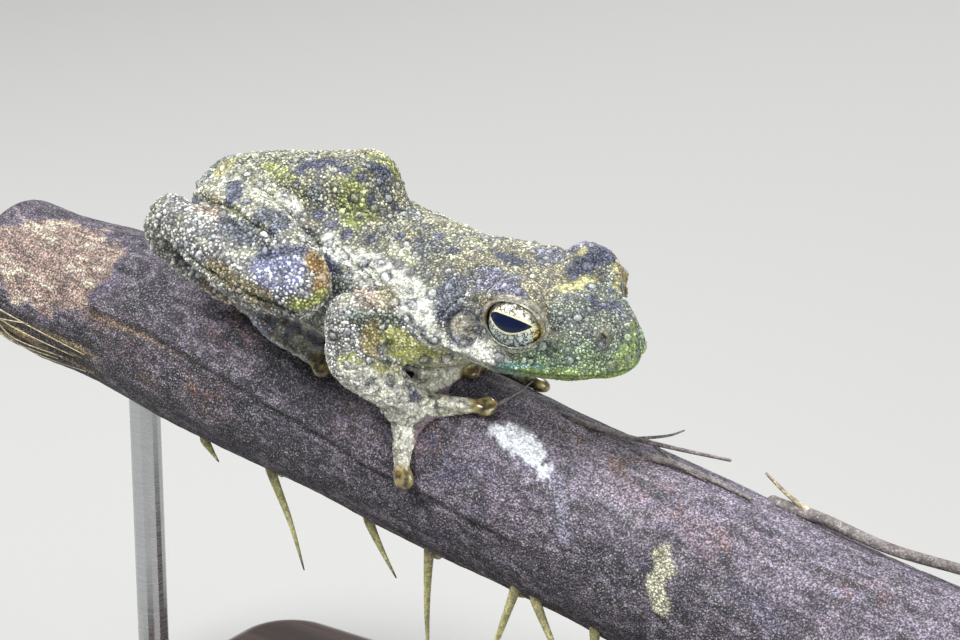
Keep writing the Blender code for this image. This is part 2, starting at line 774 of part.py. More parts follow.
def split_off_jaw(head, jaw, frame):
    """Both objects hold the same two bodies: keep the upper in one and the lower in the other."""
    for item, keep_upper in ((head, True), (jaw, False)):
        bm = bmesh.new()
        bm.from_mesh(item.data)
        bm.verts.ensure_lookup_table()
        seen = set()
        groups = []
        for start in bm.verts:
            if start.index in seen:
                continue
            seen.add(start.index)
            group = [start]
            for vert in group:
                for edge in vert.link_edges:
                    other = edge.other_vert(vert)
                    if other.index not in seen:
                        seen.add(other.index)
                        group.append(other)
            groups.append(group)
        groups.sort(key=len, reverse=True)
        inverse = frame.inverted()
        levels = [sum((inverse @ v.co).z for v in group) / len(group) for group in groups[:2]]
        keep = levels.index(max(levels)) if keep_upper else levels.index(min(levels))
        spare = [vert for index, group in enumerate(groups) if index != keep for vert in group]
        bmesh.ops.delete(bm, geom=spare, context="VERTS")
        bm.to_mesh(item.data)
        bm.free()


def build_trunk():
    frame = branch_frame()
    pieces = [
        body_loft("trunk", TRUNK_SECTIONS, frame, 36, 4, 2.2),
        body_loft("hips", HIP_SECTIONS, frame, 28, 4, 2.6),
        body_loft("neck", HEAD_SECTIONS[:3], head_frame(), 36, 4, HEAD_SQUARE),
    ]
    for side in (1.0, -1.0):
        pieces.append(ball("shoulder", (3.4, side * 6.4, 18.4), (4.0, 2.8, 3.2), frame, 16, 10))
    return melt("torso", pieces, 0.42, 8, 1900)


LEG = {
    "thigh": (
        ((-25.0, 4.6, 18.2), 3.6, 3.9),
        ((-20.5, 7.4, 19.3), 3.5, 4.2),
        ((-14.5, 10.0, 20.0), 3.2, 3.8),
        ((-8.6, 11.8, 19.4), 2.7, 3.0),
    ),
    "shank": (
        ((-8.4, 12.6, 17.6), 2.6, 3.0),
        ((-13.5, 12.9, 17.2), 3.0, 3.3),
        ((-20.0, 12.4, 17.4), 2.6, 2.9),
        ((-27.4, 11.2, 18.0), 1.9, 2.1),
    ),
    "tarsus": (
        ((-28.0, 10.6, 15.6), 1.7, 1.9),
        ((-25.2, 9.2, 13.0), 1.6, 1.5),
        ((-20.6, 7.2, 10.9), 1.7, 1.3),
    ),
}
ARM = {
    "upper_arm": (
        ((4.6, 6.7, 17.4), 2.6, 2.8),
        ((1.2, 9.6, 17.6), 2.4, 2.7),
        ((-2.4, 11.4, 17.0), 2.3, 2.4),
    ),
    "forearm": (
        ((-1.8, 11.6, 15.4), 2.7, 2.8),
        ((-0.4, 11.2, 12.6), 3.3, 3.2),
        ((2.6, 8.7, 9.6), 2.2, 2.1),
    ),
}

# Toes and fingers: points along the branch, turned from its ridge, and above it.
Digit = namedtuple("Digit", "route width disc")

# How each side of the frog sits: its limbs' places along the branch, how far the leg hangs down
# the far side of the branch, and how far hand and foot turn further round it.
Stance = namedtuple("Stance", "side arm_along leg_along leg_drop hand_turn foot_turn")
STANCES = {
    "right": Stance(-1.0, 0.0, 0.0, 0.0, 0.0, 0.0),
    "left": Stance(1.0, 0.5, 0.6, 5.6, 4.0, 12.0),
}
HAND_ROOT = (3.4, 43.0, 1.3)
FINGERS = (
    Digit(((4.4, 26.0, 1.0), (5.2, 10.0, 0.9), (6.0, -3.0, 0.75)), 0.8, 1.0),
    Digit(((5.2, 30.0, 1.0), (7.2, 12.0, 0.95), (8.6, -8.0, 0.75)), 0.85, 1.15),
    Digit(((5.6, 37.0, 1.1), (8.4, 31.0, 1.0), (11.0, 23.5, 0.75)), 0.85, 1.3),
    Digit(((4.2, 54.0, 1.1), (5.4, 67.0, 1.0), (6.6, 81.0, 0.75)), 0.85, 1.3),
)
FOOT_ROOT = (-19.0, 29.0, 1.4)
HAND_PAD = (2.3, 1.9, 1.2)
FOOT_PAD = (2.2, 1.7, 1.2)
WEB_HEIGHTS = (0.35, 1.05)
TOES = (
    Digit(((-16.8, 22.0, 1.0), (-15.0, 17.0, 0.9), (-13.2, 12.0, 0.75)), 0.7, 0.85),
    Digit(((-16.0, 25.0, 1.0), (-12.6, 21.0, 0.9), (-9.8, 17.0, 0.75)), 0.75, 0.95),
    Digit(((-15.4, 29.0, 1.1), (-10.6, 27.0, 1.0), (-6.4, 24.0, 0.75)), 0.8, 1.1),
    Digit(((-15.2, 34.0, 1.1), (-9.6, 35.0, 1.0), (-3.8, 33.5, 0.75)), 0.85, 1.3),
    Digit(((-16.0, 38.0, 1.1), (-12.2, 42.0, 1.0), (-7.6, 44.0, 0.75)), 0.85, 1.3),
)


def on_branch(spot, stance, along, turn):
    """A spot of a hand or foot given for either side, on the side and turn that the stance has."""
    return round_branch(spot[0] + along, -stance.side * (spot[1] + turn), spot[2])


def digit(name, root, finger, place):
    """One finger or toe, flat on the branch, with its round disc at the tip."""
    widths = (finger.width * 1.35, finger.width, finger.width * 0.82, finger.disc)
    heights = (finger.width * 1.2, finger.width * 0.95, finger.width * 0.75, 0.72)
    stations = []
    start = tuple(0.6 * a + 0.4 * b for a, b in zip(root, finger.route[0]))
    for spot, wide, high in zip((start,) + finger.route, widths, heights):
        stations.append(Station(place(spot), wide, high))
    return limb(name, stations, branch_frame(), 6, 2, True)


def web(root, digits, place):
    """The thin folds of skin between the roots of neighbouring digits, in one sheet."""
    bm = bmesh.new()
    rims = []
    for height in WEB_HEIGHTS:
        base = bm.verts.new(place((root[0], root[1], height)))
        near = [bm.verts.new(place((*finger.route[0][:2], height))) for finger in digits]
        far = [bm.verts.new(place((*finger.route[1][:2], height))) for finger in digits]
        for k in range(len(digits) - 1):
            bm.faces.new((base, near[k], near[k + 1]))
            bm.faces.new((near[k], far[k], far[k + 1], near[k + 1]))
        rims.append([base, near[0]] + far + [near[-1]])
    lower, upper = rims
    for k in range(len(lower)):
        n = (k + 1) % len(lower)
        bm.faces.new((lower[k], lower[n], upper[n], upper[k]))
    bmesh.ops.triangulate(bm, faces=bm.faces)
    return new_object("web", bm, branch_frame())


def build_extremity(name, root, digits, pad, place):
    """A hand or foot: the pad, the digits on it and the webs between them, in one solid."""
    pieces = [digit(f"digit_{number}", root, finger, place) for number, finger in enumerate(digits)]
    pieces.append(web(root, digits[1:], place))
    centre = place(root)
    body = ball(name, centre, pad, branch_frame(), 10, 6, (0.0, centre.y, centre.z))
    combine(body, "UNION", pieces, "MANIFOLD")
    keep_largest(body)
    return body


def limb_solid(name, rows, stance, along, drop, sides=12, steps=2):
    """A length of leg or arm; `drop` lowers what lies out to the side."""
    stations = []
    for point, wide, high in rows:
        out = min(max((point[1] - 4.0) / 7.0, 0.0), 1.0)
        place = Vector((point[0] + along, stance.side * point[1], point[2] - drop * out))
        stations.append(Station(place, wide, high))
    return limb(name, stations, branch_frame(), sides, steps)


def finish_of(name):
    """The finish of a node of the frog, told by the first words of its name."""
    for start, finish_name in FINISHES:
        if name.startswith(start):
            return finish_name
    return "skin_limb"


def build():
    clear_scene()
    branch = build_branch()
    build_stand(branch)
    head = build_head()
    small = eye_parts(head)
    jaw = part_head(head)
    torso = build_trunk()
    front = half_space("front", head_frame(), (NECK_CUT - TOUCH_GAP, 0.0, 0.0), (1.0, 0.0, 0.0))
    combine(torso, "DIFFERENCE", [front, branch_core()])
    keep_largest(torso)
    rump = copy_of(torso, "rump")
    place = (-17.0, 0.0, 20.0)
    combine(torso, "DIFFERENCE", [half_space("back", branch_frame(), place, (-1.0, 0.0, 0.0))])
    keep_largest(torso)
    place = (-17.0 - TOUCH_GAP, 0.0, 20.0)
    combine(rump, "DIFFERENCE", [half_space("fore", branch_frame(), place, (1.0, 0.0, 0.0))])
    keep_largest(rump)
    core = [torso, rump, head, jaw] + small
    for name, stance in STANCES.items():
        limbs = []
        order = (
            ("thigh", LEG["thigh"], stance.leg_along, stance.leg_drop),
            ("shank", LEG["shank"], stance.leg_along, stance.leg_drop),
            ("tarsus", LEG["tarsus"], stance.leg_along, stance.leg_drop),
            ("upper_arm", ARM["upper_arm"], stance.arm_along, 0.0),
            ("forearm", ARM["forearm"], stance.arm_along, 0.0),
        )
        for part, rows, along, drop in order:
            item = limb_solid(f"{part}_{name}", rows, stance, along, drop)
            cut_clear(item, core + limbs)
            limbs.append(item)

        def hand_place(spot):
            return on_branch(spot, stance, stance.arm_along, stance.hand_turn)

        def foot_place(spot):
            return on_branch(spot, stance, stance.leg_along, stance.foot_turn)

        hand = build_extremity(f"hand_{name}", HAND_ROOT, FINGERS, HAND_PAD, hand_place)
        foot = build_extremity(f"foot_{name}", FOOT_ROOT, TOES, FOOT_PAD, foot_place)
        for item in (hand, foot):
            cut_clear(item, core + limbs)
        core += limbs + [hand, foot]
    for item in core:
        finish(item, finish_of(item.name))


build()
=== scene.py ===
"""African foam nest tree frog on its perch: the finished looks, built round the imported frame.

Forms are worked out in millimetres, in the frames of the branch and of the head that the solids use,
and are turned into metres last. Marks on the skin are named places in those frames: along the branch
towards the snout, across it to the frog's left, and up.
"""

import itertools
import math
from collections import namedtuple

import bmesh
import bpy
import numpy as np
from bpy.props import FloatProperty, FloatVectorProperty, IntProperty, PointerProperty
from mathutils import Euler, Matrix, Vector
from mathutils.kdtree import KDTree


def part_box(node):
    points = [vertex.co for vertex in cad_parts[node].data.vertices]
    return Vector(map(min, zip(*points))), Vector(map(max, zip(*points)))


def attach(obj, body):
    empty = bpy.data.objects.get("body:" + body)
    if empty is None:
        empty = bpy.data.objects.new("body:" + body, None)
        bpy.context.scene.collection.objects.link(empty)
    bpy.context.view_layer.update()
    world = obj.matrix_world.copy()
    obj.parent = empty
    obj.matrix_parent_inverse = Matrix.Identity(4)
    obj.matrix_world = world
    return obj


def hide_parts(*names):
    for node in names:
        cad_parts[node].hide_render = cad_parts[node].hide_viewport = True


bl_info = {
    "name": "Foam nest tree frog",
    "version": (1, 0, 0),
    "blender": (4, 5, 0),
    "location": "3D View > Sidebar > Tree frog",
    "description": "Builds the skin, eyes, perch and stand of a life-size tree frog model",
    "category": "Object",
}

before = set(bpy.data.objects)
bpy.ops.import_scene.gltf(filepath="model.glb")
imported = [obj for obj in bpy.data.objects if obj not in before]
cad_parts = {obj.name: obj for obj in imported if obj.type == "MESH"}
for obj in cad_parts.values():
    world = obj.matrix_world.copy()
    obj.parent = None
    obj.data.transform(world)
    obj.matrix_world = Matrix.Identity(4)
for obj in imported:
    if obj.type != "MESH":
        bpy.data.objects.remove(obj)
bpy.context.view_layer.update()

MM = 0.001
BODY = "root"

# The frames of the branch and of the head, as the solids have them.
BRANCH_SLOPE = math.radians(10.6)
BRANCH_MIDDLE = Vector((-8.0, 0.0, 48.0))
BRANCH_RADIUS = 9.9
BRANCH_ENDS = (-57.0, 74.0)
THIN_END = (-30.0, 22.0, 4.2)
HEAD_MIDDLE = Vector((15.1, -0.6, 22.65))
HEAD_TURN = Euler((math.radians(7.4), math.radians(-3.7), math.radians(-7.7)), "XYZ")

# The head, in its own frame: forward, left and up from the middle between the eyes.
LID_PLACE = (-0.7, 5.5, 0.3)
LID_RADIUS = 3.66
EYE_PLACE = (0.0, 5.85, -0.15)
EYE_RADIUS = 3.1
EYE_SHELL = 3.5
EYE_GAZE = (0.33, 0.89, 0.31)
BROW = (((-0.3, 5.7, 1.0), 2.9), ((1.1, 5.9, 1.4), 2.3), ((2.4, 5.9, 1.5), 1.5))
SOCKET_GAP = 0.07
# The pupil, in millimetres ahead and up from the eye's middle, and the curves of its upper and lower edge.
PUPIL_BACK = (-2.42, 0.04)
PUPIL_FRONT = (2.18, 0.42)
PUPIL_EDGES = ((1.29, 0.29, 0.7), (4.1, 1.1, 1.0))
# Lines round the lids: place (1 at the eyeball, 0 at the zone's outer end), width and strength.
LID_LINES = (
    (0.92, 0.03, 0.9), (0.78, 0.03, 0.8), (0.66, 0.02, 0.5),
    (0.52, 0.03, 0.8), (0.4, 0.02, 0.45), (0.26, 0.02, 0.4))
# How far out from the lids' edge their zone reaches, in degrees.
LID_ZONE = 18.0
# Half the length and half the height of the opening of the lids, on the right and on the left.
LID_OPENING = {-1.0: (2.95, 2.2), 1.0: (2.6, 2.0)}
OPENING_FLARE = ((0.5, 1.0), (2.2, 1.0), (3.2, 1.14), (6.0, 1.7))
EARDRUM_PLACE = (-5.0, -1.8)
EARDRUM_RADIUS = 1.7
EAR_TILT = 0.3
EAR_FOLD = ((-3.0, 0.9), (-6.0, 0.9), (-8.4, -0.9), (-9.6, -3.6), (-10.6, -6.0))
NOSTRIL_PLACE = (7.9, -0.3)
NOSTRIL_SHIFT = np.array((0.1, 0.25, 0.1))
NOSTRIL_PIT = np.array((-0.1, 0.1, -0.1))
MOUTH_FRONT_LEVEL = -4.0
MOUTH_CORNER = (-7.6, -4.7)
LIP_FRONT = 9.25
HEAD_SQUARE = 2.25

Shape = namedtuple("Shape", "points faces")
Digit = namedtuple("Digit", "route width disc")
Stance = namedtuple("Stance", "side arm_along leg_along leg_drop hand_turn foot_turn")
Bark = namedtuple("Bark", "along turn flat")

# Upright sections: place along, half the width, top, bottom, and where it is widest.
HEAD_SECTIONS = (
    (-14.0, 6.8, 1.4, -9.0, -3.4),
    (-9.5, 8.7, 2.2, -7.9, -3.6),
    (-5.5, 9.3, 2.4, -7.3, -3.9),
    (-1.0, 8.9, 2.5, -6.9, -4.1),
    (3.0, 7.4, 2.3, -6.4, -4.0),
    (5.8, 5.7, 1.4, -5.9, -3.7),
    (7.4, 4.5, 0.5, -5.3, -3.6),
    (8.5, 3.4, -0.8, -5.1, -3.8),
    (9.2, 2.4, -2.1, -4.9, -3.8),
)
TRUNK_SECTIONS = (
    (-31.2, 1.8, 19.2, 15.4, 17.2),
    (-29.0, 4.0, 20.8, 13.2, 17.2),
    (-25.0, 5.8, 22.4, 11.0, 17.0),
    (-20.0, 7.0, 23.6, 9.4, 16.8),
    (-15.0, 8.0, 24.4, 8.6, 16.6),
    (-10.0, 8.7, 24.6, 8.4, 16.5),
    (-5.0, 9.0, 24.1, 8.4, 16.6),
    (0.0, 8.8, 24.3, 8.6, 17.0),
    (5.0, 8.2, 24.4, 10.6, 18.0),
    (9.0, 6.8, 23.6, 14.6, 18.6),
)
HIP_SECTIONS = (
    (-29.6, 2.6, 21.4, 16.0, 18.5),
    (-25.0, 4.3, 23.6, 17.0, 20.0),
    (-19.0, 5.0, 25.9, 18.0, 21.5),
    (-14.6, 5.2, 27.5, 18.0, 23.0),
    (-10.6, 4.9, 28.7, 18.0, 24.0),
    (-8.6, 4.2, 27.7, 18.0, 23.6),
    (-6.8, 3.3, 25.6, 19.0, 23.0),
    (-5.0, 2.2, 23.9, 20.0, 22.6),
)
SHOULDER = ((3.4, 6.4, 18.4), (4.0, 2.8, 3.2))

# Each limb runs through its stations as one length, so that knee, heel, elbow and wrist are whole. A station
# is a place, half the width and half the height.
LEG = (
    ((-25.0, 4.6, 18.2), 3.6, 3.9),
    ((-20.5, 7.4, 19.3), 3.5, 4.2),
    ((-14.5, 10.0, 20.0), 3.2, 3.8),
    ((-8.6, 11.8, 19.4), 2.7, 3.0),
)
SHANK = (
    ((-8.4, 12.6, 17.6), 2.6, 3.0),
    ((-13.5, 12.9, 17.2), 3.0, 3.3),
    ((-20.0, 12.2, 17.9), 2.7, 3.1),
    ((-27.2, 10.8, 18.9), 2.0, 2.2),
)
TARSUS = (
    ((-28.0, 10.6, 15.6), 1.7, 1.9),
    ((-25.2, 9.2, 13.0), 1.6, 1.5),
    ((-20.6, 7.2, 10.9), 1.7, 1.3),
)
UPPER_ARM = (
    ((4.6, 6.7, 17.4), 2.8, 3.0),
    ((1.2, 9.6, 17.6), 2.5, 2.8),
    ((-2.4, 11.4, 17.0), 2.4, 2.5),
)
FOREARM = (
    ((-1.8, 11.6, 15.4), 2.7, 2.8),
    ((-0.4, 11.2, 12.6), 3.3, 3.2),
    ((2.6, 8.7, 9.6), 2.2, 2.1),
)
ARMPIT = (((0.6, 10.4, 14.2), 1.5, 1.4), ((3.4, 7.8, 14.0), 1.6, 1.2), ((6.0, 3.8, 13.8), 1.8, 1.3))
LEG_JOINTS = (((-7.9, 12.3, 18.6), 2.9), ((-28.0, 11.0, 17.0), 2.0))
ARM_JOINTS = (((-2.2, 11.5, 16.2), 2.75),)
STANCES = {
    "right": Stance(-1.0, 0.0, 0.0, 0.0, 0.0, 0.0),
    "left": Stance(1.0, 0.5, 0.6, 5.6, 4.0, 12.0),
}

# Hands and feet: places along the branch, turned from its ridge, and above its surface.
HAND_ROOT = (3.4, 43.0, 1.3)
HAND_PAD = (3.0, 2.5, 1.5)
WRIST = (((0.9, 10.4, 11.2), 2.7, 2.6), ((3.2, 8.4, 9.2), 2.4, 1.9), ((4.6, 7.0, 8.3), 2.2, 1.2))
FINGERS = (
    Digit(((3.2, 27.0, 1.0), (3.2, 11.0, 0.9), (3.4, -3.0, 0.75)), 0.9, 1.05),
    Digit(((4.2, 29.0, 1.0), (5.0, 11.0, 0.95), (5.8, -8.0, 0.75)), 1.0, 1.2),
    Digit(((5.6, 37.0, 1.1), (8.4, 31.0, 1.0), (11.0, 23.5, 0.75)), 1.12, 1.36),
    Digit(((4.2, 54.0, 1.1), (5.4, 67.0, 1.0), (6.6, 81.0, 0.75)), 1.12, 1.32),
)
FOOT_ROOT = (-19.0, 29.0, 1.4)
FOOT_PAD = (2.2, 1.7, 1.2)
TOES = (
    Digit(((-16.8, 22.0, 1.0), (-15.0, 17.0, 0.9), (-13.2, 12.0, 0.75)), 0.7, 0.85),
    Digit(((-16.0, 25.0, 1.0), (-12.6, 21.0, 0.9), (-9.8, 17.0, 0.75)), 0.75, 0.95),
    Digit(((-15.4, 29.0, 1.1), (-10.6, 27.0, 1.0), (-6.4, 24.0, 0.75)), 0.8, 1.1),
    Digit(((-15.2, 34.0, 1.1), (-9.6, 35.0, 1.0), (-3.8, 33.5, 0.75)), 0.85, 1.3),
    Digit(((-16.0, 38.0, 1.1), (-12.2, 42.0, 1.0), (-7.6, 44.0, 0.75)), 0.85, 1.3),
)

FLESH = ["head", "lower_jaw", "torso", "rump"]
FLESH += [f"{part}_{side}" for side in ("left", "right") for part in (
    "eardrum", "upper_arm", "forearm", "hand", "thigh", "shank", "tarsus", "foot")]


def srgb(red, green, blue):
    """A colour seen on a screen, from 0 to 255, as linear light."""
    def light(value):
        value /= 255.0
        return value / 12.92 if value <= 0.04045 else ((value + 0.055) / 1.055) ** 2.4
    return (light(red), light(green), light(blue))


def rgba(red, green, blue):
    """A colour seen on a screen, as a solid colour for a node."""
    return (*srgb(red, green, blue), 1.0)


# Colours seen on a screen: what the skin shows between its grains, and what the grains show.
FINISHES = {
    "back": (92, 94, 80, 212, 213, 180),
    "flank": (98, 106, 96, 204, 212, 194),
    "limb": (104, 104, 102, 230, 230, 222),
    "thigh": (152, 154, 120, 246, 246, 226),
    "dark": (38, 42, 66, 92, 100, 134),
    "slate": (56, 61, 72, 140, 148, 160),
    "white": (232, 234, 218, 252, 253, 246),
    "frost": (104, 110, 158, 244, 247, 255),
    "lime": (112, 120, 50, 212, 218, 134),
    "citron": (192, 194, 98, 240, 240, 186),
    "moss": (46, 56, 40, 140, 152, 130),
    "green": (84, 112, 72, 172, 196, 148),
    "snout": (138, 166, 82, 202, 220, 144),
    "teal": (96, 152, 148, 184, 220, 214),
    "lilac": (76, 76, 98, 178, 176, 198),
    "beige": (120, 113, 82, 222, 214, 174),
    "yellow": (182, 178, 110, 240, 236, 178),
    "straw": (150, 134, 70, 224, 212, 154),
    "ochre": (136, 98, 40, 214, 176, 104),
    "umber": (84, 72, 42, 168, 156, 118),
    "tan": (132, 116, 100, 222, 206, 186),
    "digit": (240, 238, 218, 255, 255, 248),
    "disc": (156, 144, 98, 206, 198, 146),
    "web": (132, 116, 122, 186, 174, 182),
    "belly": (222, 218, 192, 240, 238, 220),
    "drum": (172, 166, 148, 190, 184, 166),
    # Painted shade, laid in the grooves of the folds and of the mouth.
    "groove_shade": (72, 82, 32, 140, 150, 80),
    "line": (26, 26, 28, 60, 60, 60),
}
FINISHES = {name: (srgb(*seen[:3]), srgb(*seen[3:])) for name, seen in FINISHES.items()}

# Marks on the right of the frog, by the frame they are in: finish, reach and route. Those on the face,
# side, leg and arm are repeated on its left.
MARKS = {"leg": (
    ("thigh", 3.3, ((-25.5, 5.6, 21.8), (-20.4, 8.4, 23.2), (-14.6, 10.2, 23.8))),
    ("dark", 1.0, ((-22.4, 6.9, 23.4), (-20.6, 8.9, 23.1), (-20.3, 9.9, 22.5))),
    ("slate", 1.55, ((-15.0, 11.0, 23.4), (-12.9, 11.2, 23.4))),
    ("dark", 0.6, ((-12.7, 12.3, 22.7),)),
    ("slate", 0.45, ((-18.0, 10.0, 23.3),)),
    ("dark", 0.95, ((-27.2, 8.2, 19.9), (-25.2, 8.9, 20.9))),
    ("tan", 1.4, ((-23.5, 9.6, 20.6), (-21.2, 10.5, 21.3))),
    ("slate", 1.35, ((-18.6, 12.0, 20.8), (-15.4, 12.8, 21.4))),
    ("frost", 1.9, ((-11.3, 14.7, 19.8), (-8.6, 14.2, 20.2))),
    ("dark", 0.55, ((-12.4, 14.0, 20.6), (-10.4, 13.4, 21.7), (-8.6, 12.3, 22.2))),
    ("ochre", 1.25, ((-6.9, 12.0, 21.6), (-5.9, 12.2, 20.4), (-5.5, 12.8, 19.4))),
    ("lime", 1.0, ((-7.0, 14.6, 17.4), (-5.6, 13.8, 17.7), (-5.2, 13.0, 18.6))),
    ("umber", 1.2, ((-17.6, 15.2, 17.8), (-13.3, 15.9, 17.4), (-10.2, 15.4, 17.0))),
    ("tan", 1.8, ((-22.0, 9.0, 12.4), (-17.0, 8.4, 11.0))),
), "back": (
    ("yellow", 1.3, ((-27.1, -2.4, 22.1), (-27.0, -3.9, 21.3))),
    ("thigh", 0.95, ((-23.6, -3.7, 23.2), (-20.6, -4.4, 23.5), (-17.0, -5.0, 22.9))),
    ("white", 0.75, ((-17.2, -4.9, 23.0), (-15.0, -5.6, 22.7))),
    ("dark", 0.75, ((-16.6, -4.1, 25.5), (-16.0, -3.0, 26.5), (-13.1, -2.3, 27.7))),
    ("lime", 2.0, ((-9.6, -4.1, 26.4), (-8.4, -4.0, 24.6))),
    ("lime", 1.2, ((-10.4, 1.0, 28.2), (-8.6, 2.6, 27.2))),
    ("lime", 0.8, ((-22.0, -3.0, 24.8), (-17.0, -4.4, 25.0))),
    ("dark", 0.9, ((-8.7, 0.5, 27.7), (-9.4, -0.8, 28.0))),
    ("dark", 0.7, ((-9.2, -2.8, 27.5),)),
    ("dark", 0.7, ((-11.1, -3.3, 27.8),)),
    ("dark", 0.7, ((-7.5, -2.9, 25.7),)),
    ("dark", 0.6, ((-6.2, -0.5, 25.0),)),
    ("dark", 0.7, ((-3.0, -3.6, 23.6),)),
    ("dark", 0.7, ((-0.7, -3.2, 23.9),)),
    ("dark", 0.7, ((0.3, -1.2, 24.2),)),
    ("dark", 0.7, ((3.3, -2.7, 24.1),)),
), "side": (
    ("dark", 0.7, ((-12.1, 5.5, 22.9),)),
    ("dark", 0.7, ((-9.8, 5.9, 22.8),)),
    ("dark", 0.7, ((-7.8, 6.2, 22.5),)),
    ("dark", 0.8, ((-5.2, 5.3, 22.9),)),
    ("slate", 1.7, ((6.0, 6.4, 22.0), (6.6, 8.0, 20.4))),
    ("thigh", 1.25, ((-1.8, 4.9, 23.0), (-0.2, 5.8, 22.5))),
    ("white", 1.0, ((-9.2, 7.3, 21.5), (-7.5, 7.7, 21.1), (-5.4, 7.9, 20.9))),
    ("white", 1.85, ((-4.4, 7.9, 20.9), (-0.8, 7.9, 20.7), (1.6, 8.3, 20.5), (3.6, 9.0, 20.0))),
    ("white", 1.6, ((2.6, 9.6, 19.9), (4.4, 9.4, 18.9), (5.6, 9.3, 17.6), (6.6, 8.6, 16.6))),
    ("dark", 0.7, ((-8.8, 8.2, 20.1), (-7.1, 8.5, 19.4))),
    ("citron", 2.0, ((3.1, 10.9, 16.4), (4.1, 8.4, 14.8), (5.3, 6.9, 13.9), (7.4, 5.6, 14.6))),
), "arm": (
    ("tan", 1.6, ((-4.5, 9.0, 19.0), (-2.6, 9.4, 19.6), (-0.4, 11.0, 19.9))),
    ("beige", 1.0, ((-0.6, 8.7, 19.9), (1.9, 10.6, 20.1))),
    ("moss", 0.8, ((-0.6, 13.0, 18.1), (1.0, 12.4, 18.0))),
    ("moss", 0.7, ((2.2, 11.5, 18.7), (3.0, 11.0, 18.4))),
    ("straw", 1.1, ((1.1, 12.3, 17.1), (1.4, 12.2, 15.2))),
    ("citron", 1.5, ((0.2, 13.6, 13.4), (2.6, 12.0, 12.4), (4.6, 9.6, 12.2))),
    ("digit", 2.4, ((0.9, 13.6, 11.8), (3.0, 11.6, 10.4), (4.8, 9.4, 9.6))),
    ("dark", 0.6, ((4.8, 8.7, 9.8), (5.6, 8.0, 10.0))),
), "face": (
    ("white", 1.5, ((-4.6, 9.0, -4.2), (-2.4, 8.9, -3.0), (-0.6, 8.7, -2.8))),
    ("white", 1.3, ((-8.6, 9.0, -3.6), (-6.6, 9.2, -4.6))),
    ("teal", 1.0, ((0.4, 8.3, -4.6), (2.4, 7.6, -4.4), (4.2, 6.8, -4.2))),
    ("lilac", 1.9, ((-5.4, 4.4, 2.2), (-3.0, 5.2, 3.2), (0.1, 5.3, 3.9))),
    ("snout", 0.55, ((9.6, 0.4, -4.3), (8.7, 3.6, -4.1), (6.4, 5.6, -4.0), (2.8, 7.6, -4.3))),
), "head": (
    ("beige", 1.6, ((-1.6, -3.2, 2.6), (2.1, -4.5, 3.6), (-1.5, 1.0, 2.4))),
    ("beige", 1.3, ((2.6, -6.6, 2.4), (3.4, -6.6, 0.6))),
    ("dark", 0.8, ((-7.8, -0.3, 2.3), (-5.2, -0.2, 2.4))),
    ("dark", 0.7, ((-4.5, 2.0, 2.3),)),
    ("dark", 1.6, ((0.2, 2.2, 3.0), (0.7, 3.7, 3.4), (1.3, 5.6, 4.0))),
    ("yellow", 0.7, ((-0.9, 4.2, 3.9),)),
    ("yellow", 0.9, ((1.4, -0.8, 2.4), (2.1, 2.7, 2.5), (3.1, 5.2, 3.2))),
    ("yellow", 0.9, ((4.0, 4.7, 1.4),)),
    ("yellow", 0.7, ((5.9, 1.1, 1.6),)),
    ("ochre", 0.9, ((2.9, 6.6, 2.8), (3.6, 5.9, 2.2))),
    ("dark", 0.9, ((4.6, 0.2, 2.0), (5.9, 0.1, 1.8), (6.2, 1.8, 1.5))),
    ("dark", 0.7, ((4.3, 3.4, 1.9),)),
    ("snout", 1.3, ((9.6, -2.0, -3.6), (9.9, 0.4, -2.0), (9.2, 1.9, -0.6))),
)}

# Folds in the skin of side, wrist, elbow and leg: the frame they are in, width, depth and route.
CREASES = (
    ("side", 0.16, 0.42, ((-3.8, 7.6, 21.0), (-0.8, 8.4, 20.3), (1.7, 9.9, 20.3),
                         (4.3, 10.1, 18.6), (6.2, 8.8, 16.4))),
    ("side", 0.14, 0.34, ((-1.7, 7.3, 21.4), (0.6, 8.1, 20.6), (3.0, 9.0, 20.2),
                         (5.6, 9.0, 18.2), (7.0, 7.8, 15.8))),
    ("side", 0.14, 0.3, ((-8.0, 7.3, 21.5), (-4.6, 7.9, 20.5), (-2.0, 8.3, 20.1))),
    ("side", 0.14, 0.32, ((5.0, 8.4, 19.8), (6.4, 8.4, 18.0), (7.8, 7.6, 16.0))),
    ("side", 0.2, 0.4, ((-5.6, 8.2, 20.2), (-4.4, 9.0, 18.6), (-4.4, 9.4, 16.6))),
    ("side", 0.35, 0.6, ((2.3, 11.1, 15.9), (1.8, 8.6, 13.8), (3.7, 6.6, 12.7))),
    ("arm", 0.14, 0.3, ((-2.6, 10.4, 19.6), (-0.8, 11.7, 19.6), (0.8, 12.0, 19.1),
                       (1.8, 11.9, 18.2), (2.2, 11.8, 17.4))),
    ("arm", 0.16, 0.32, ((1.2, 12.8, 14.0), (3.4, 10.6, 13.6), (4.6, 8.4, 13.2))),
    ("arm", 0.14, 0.26, ((0.6, 13.4, 11.4), (3.0, 11.3, 11.6), (4.6, 8.8, 11.8))),
    ("arm", 0.14, 0.26, ((1.2, 12.6, 10.4), (3.4, 10.6, 10.6), (4.8, 8.2, 10.8))),
    ("leg", 0.3, 0.75, ((-26.2, 7.6, 20.4), (-23.7, 9.0, 21.1), (-19.9, 10.5, 22.1),
                       (-15.6, 12.1, 22.4), (-12.6, 12.7, 22.5))),
    ("leg", 0.26, 0.6, ((-26.6, 13.3, 18.1), (-23.0, 14.2, 17.3), (-17.6, 15.3, 17.0),
                       (-11.4, 15.6, 16.8), (-7.2, 14.6, 16.4))),
    ("side", 0.26, 0.6, ((-25.0, 3.8, 22.4), (-20.6, 5.5, 22.7), (-17.0, 5.7, 22.2),
                        (-12.5, 7.0, 21.4), (-9.9, 7.6, 20.9))),
)
THROAT_FOLDS = (-0.7, -1.25, -1.8, -2.4)
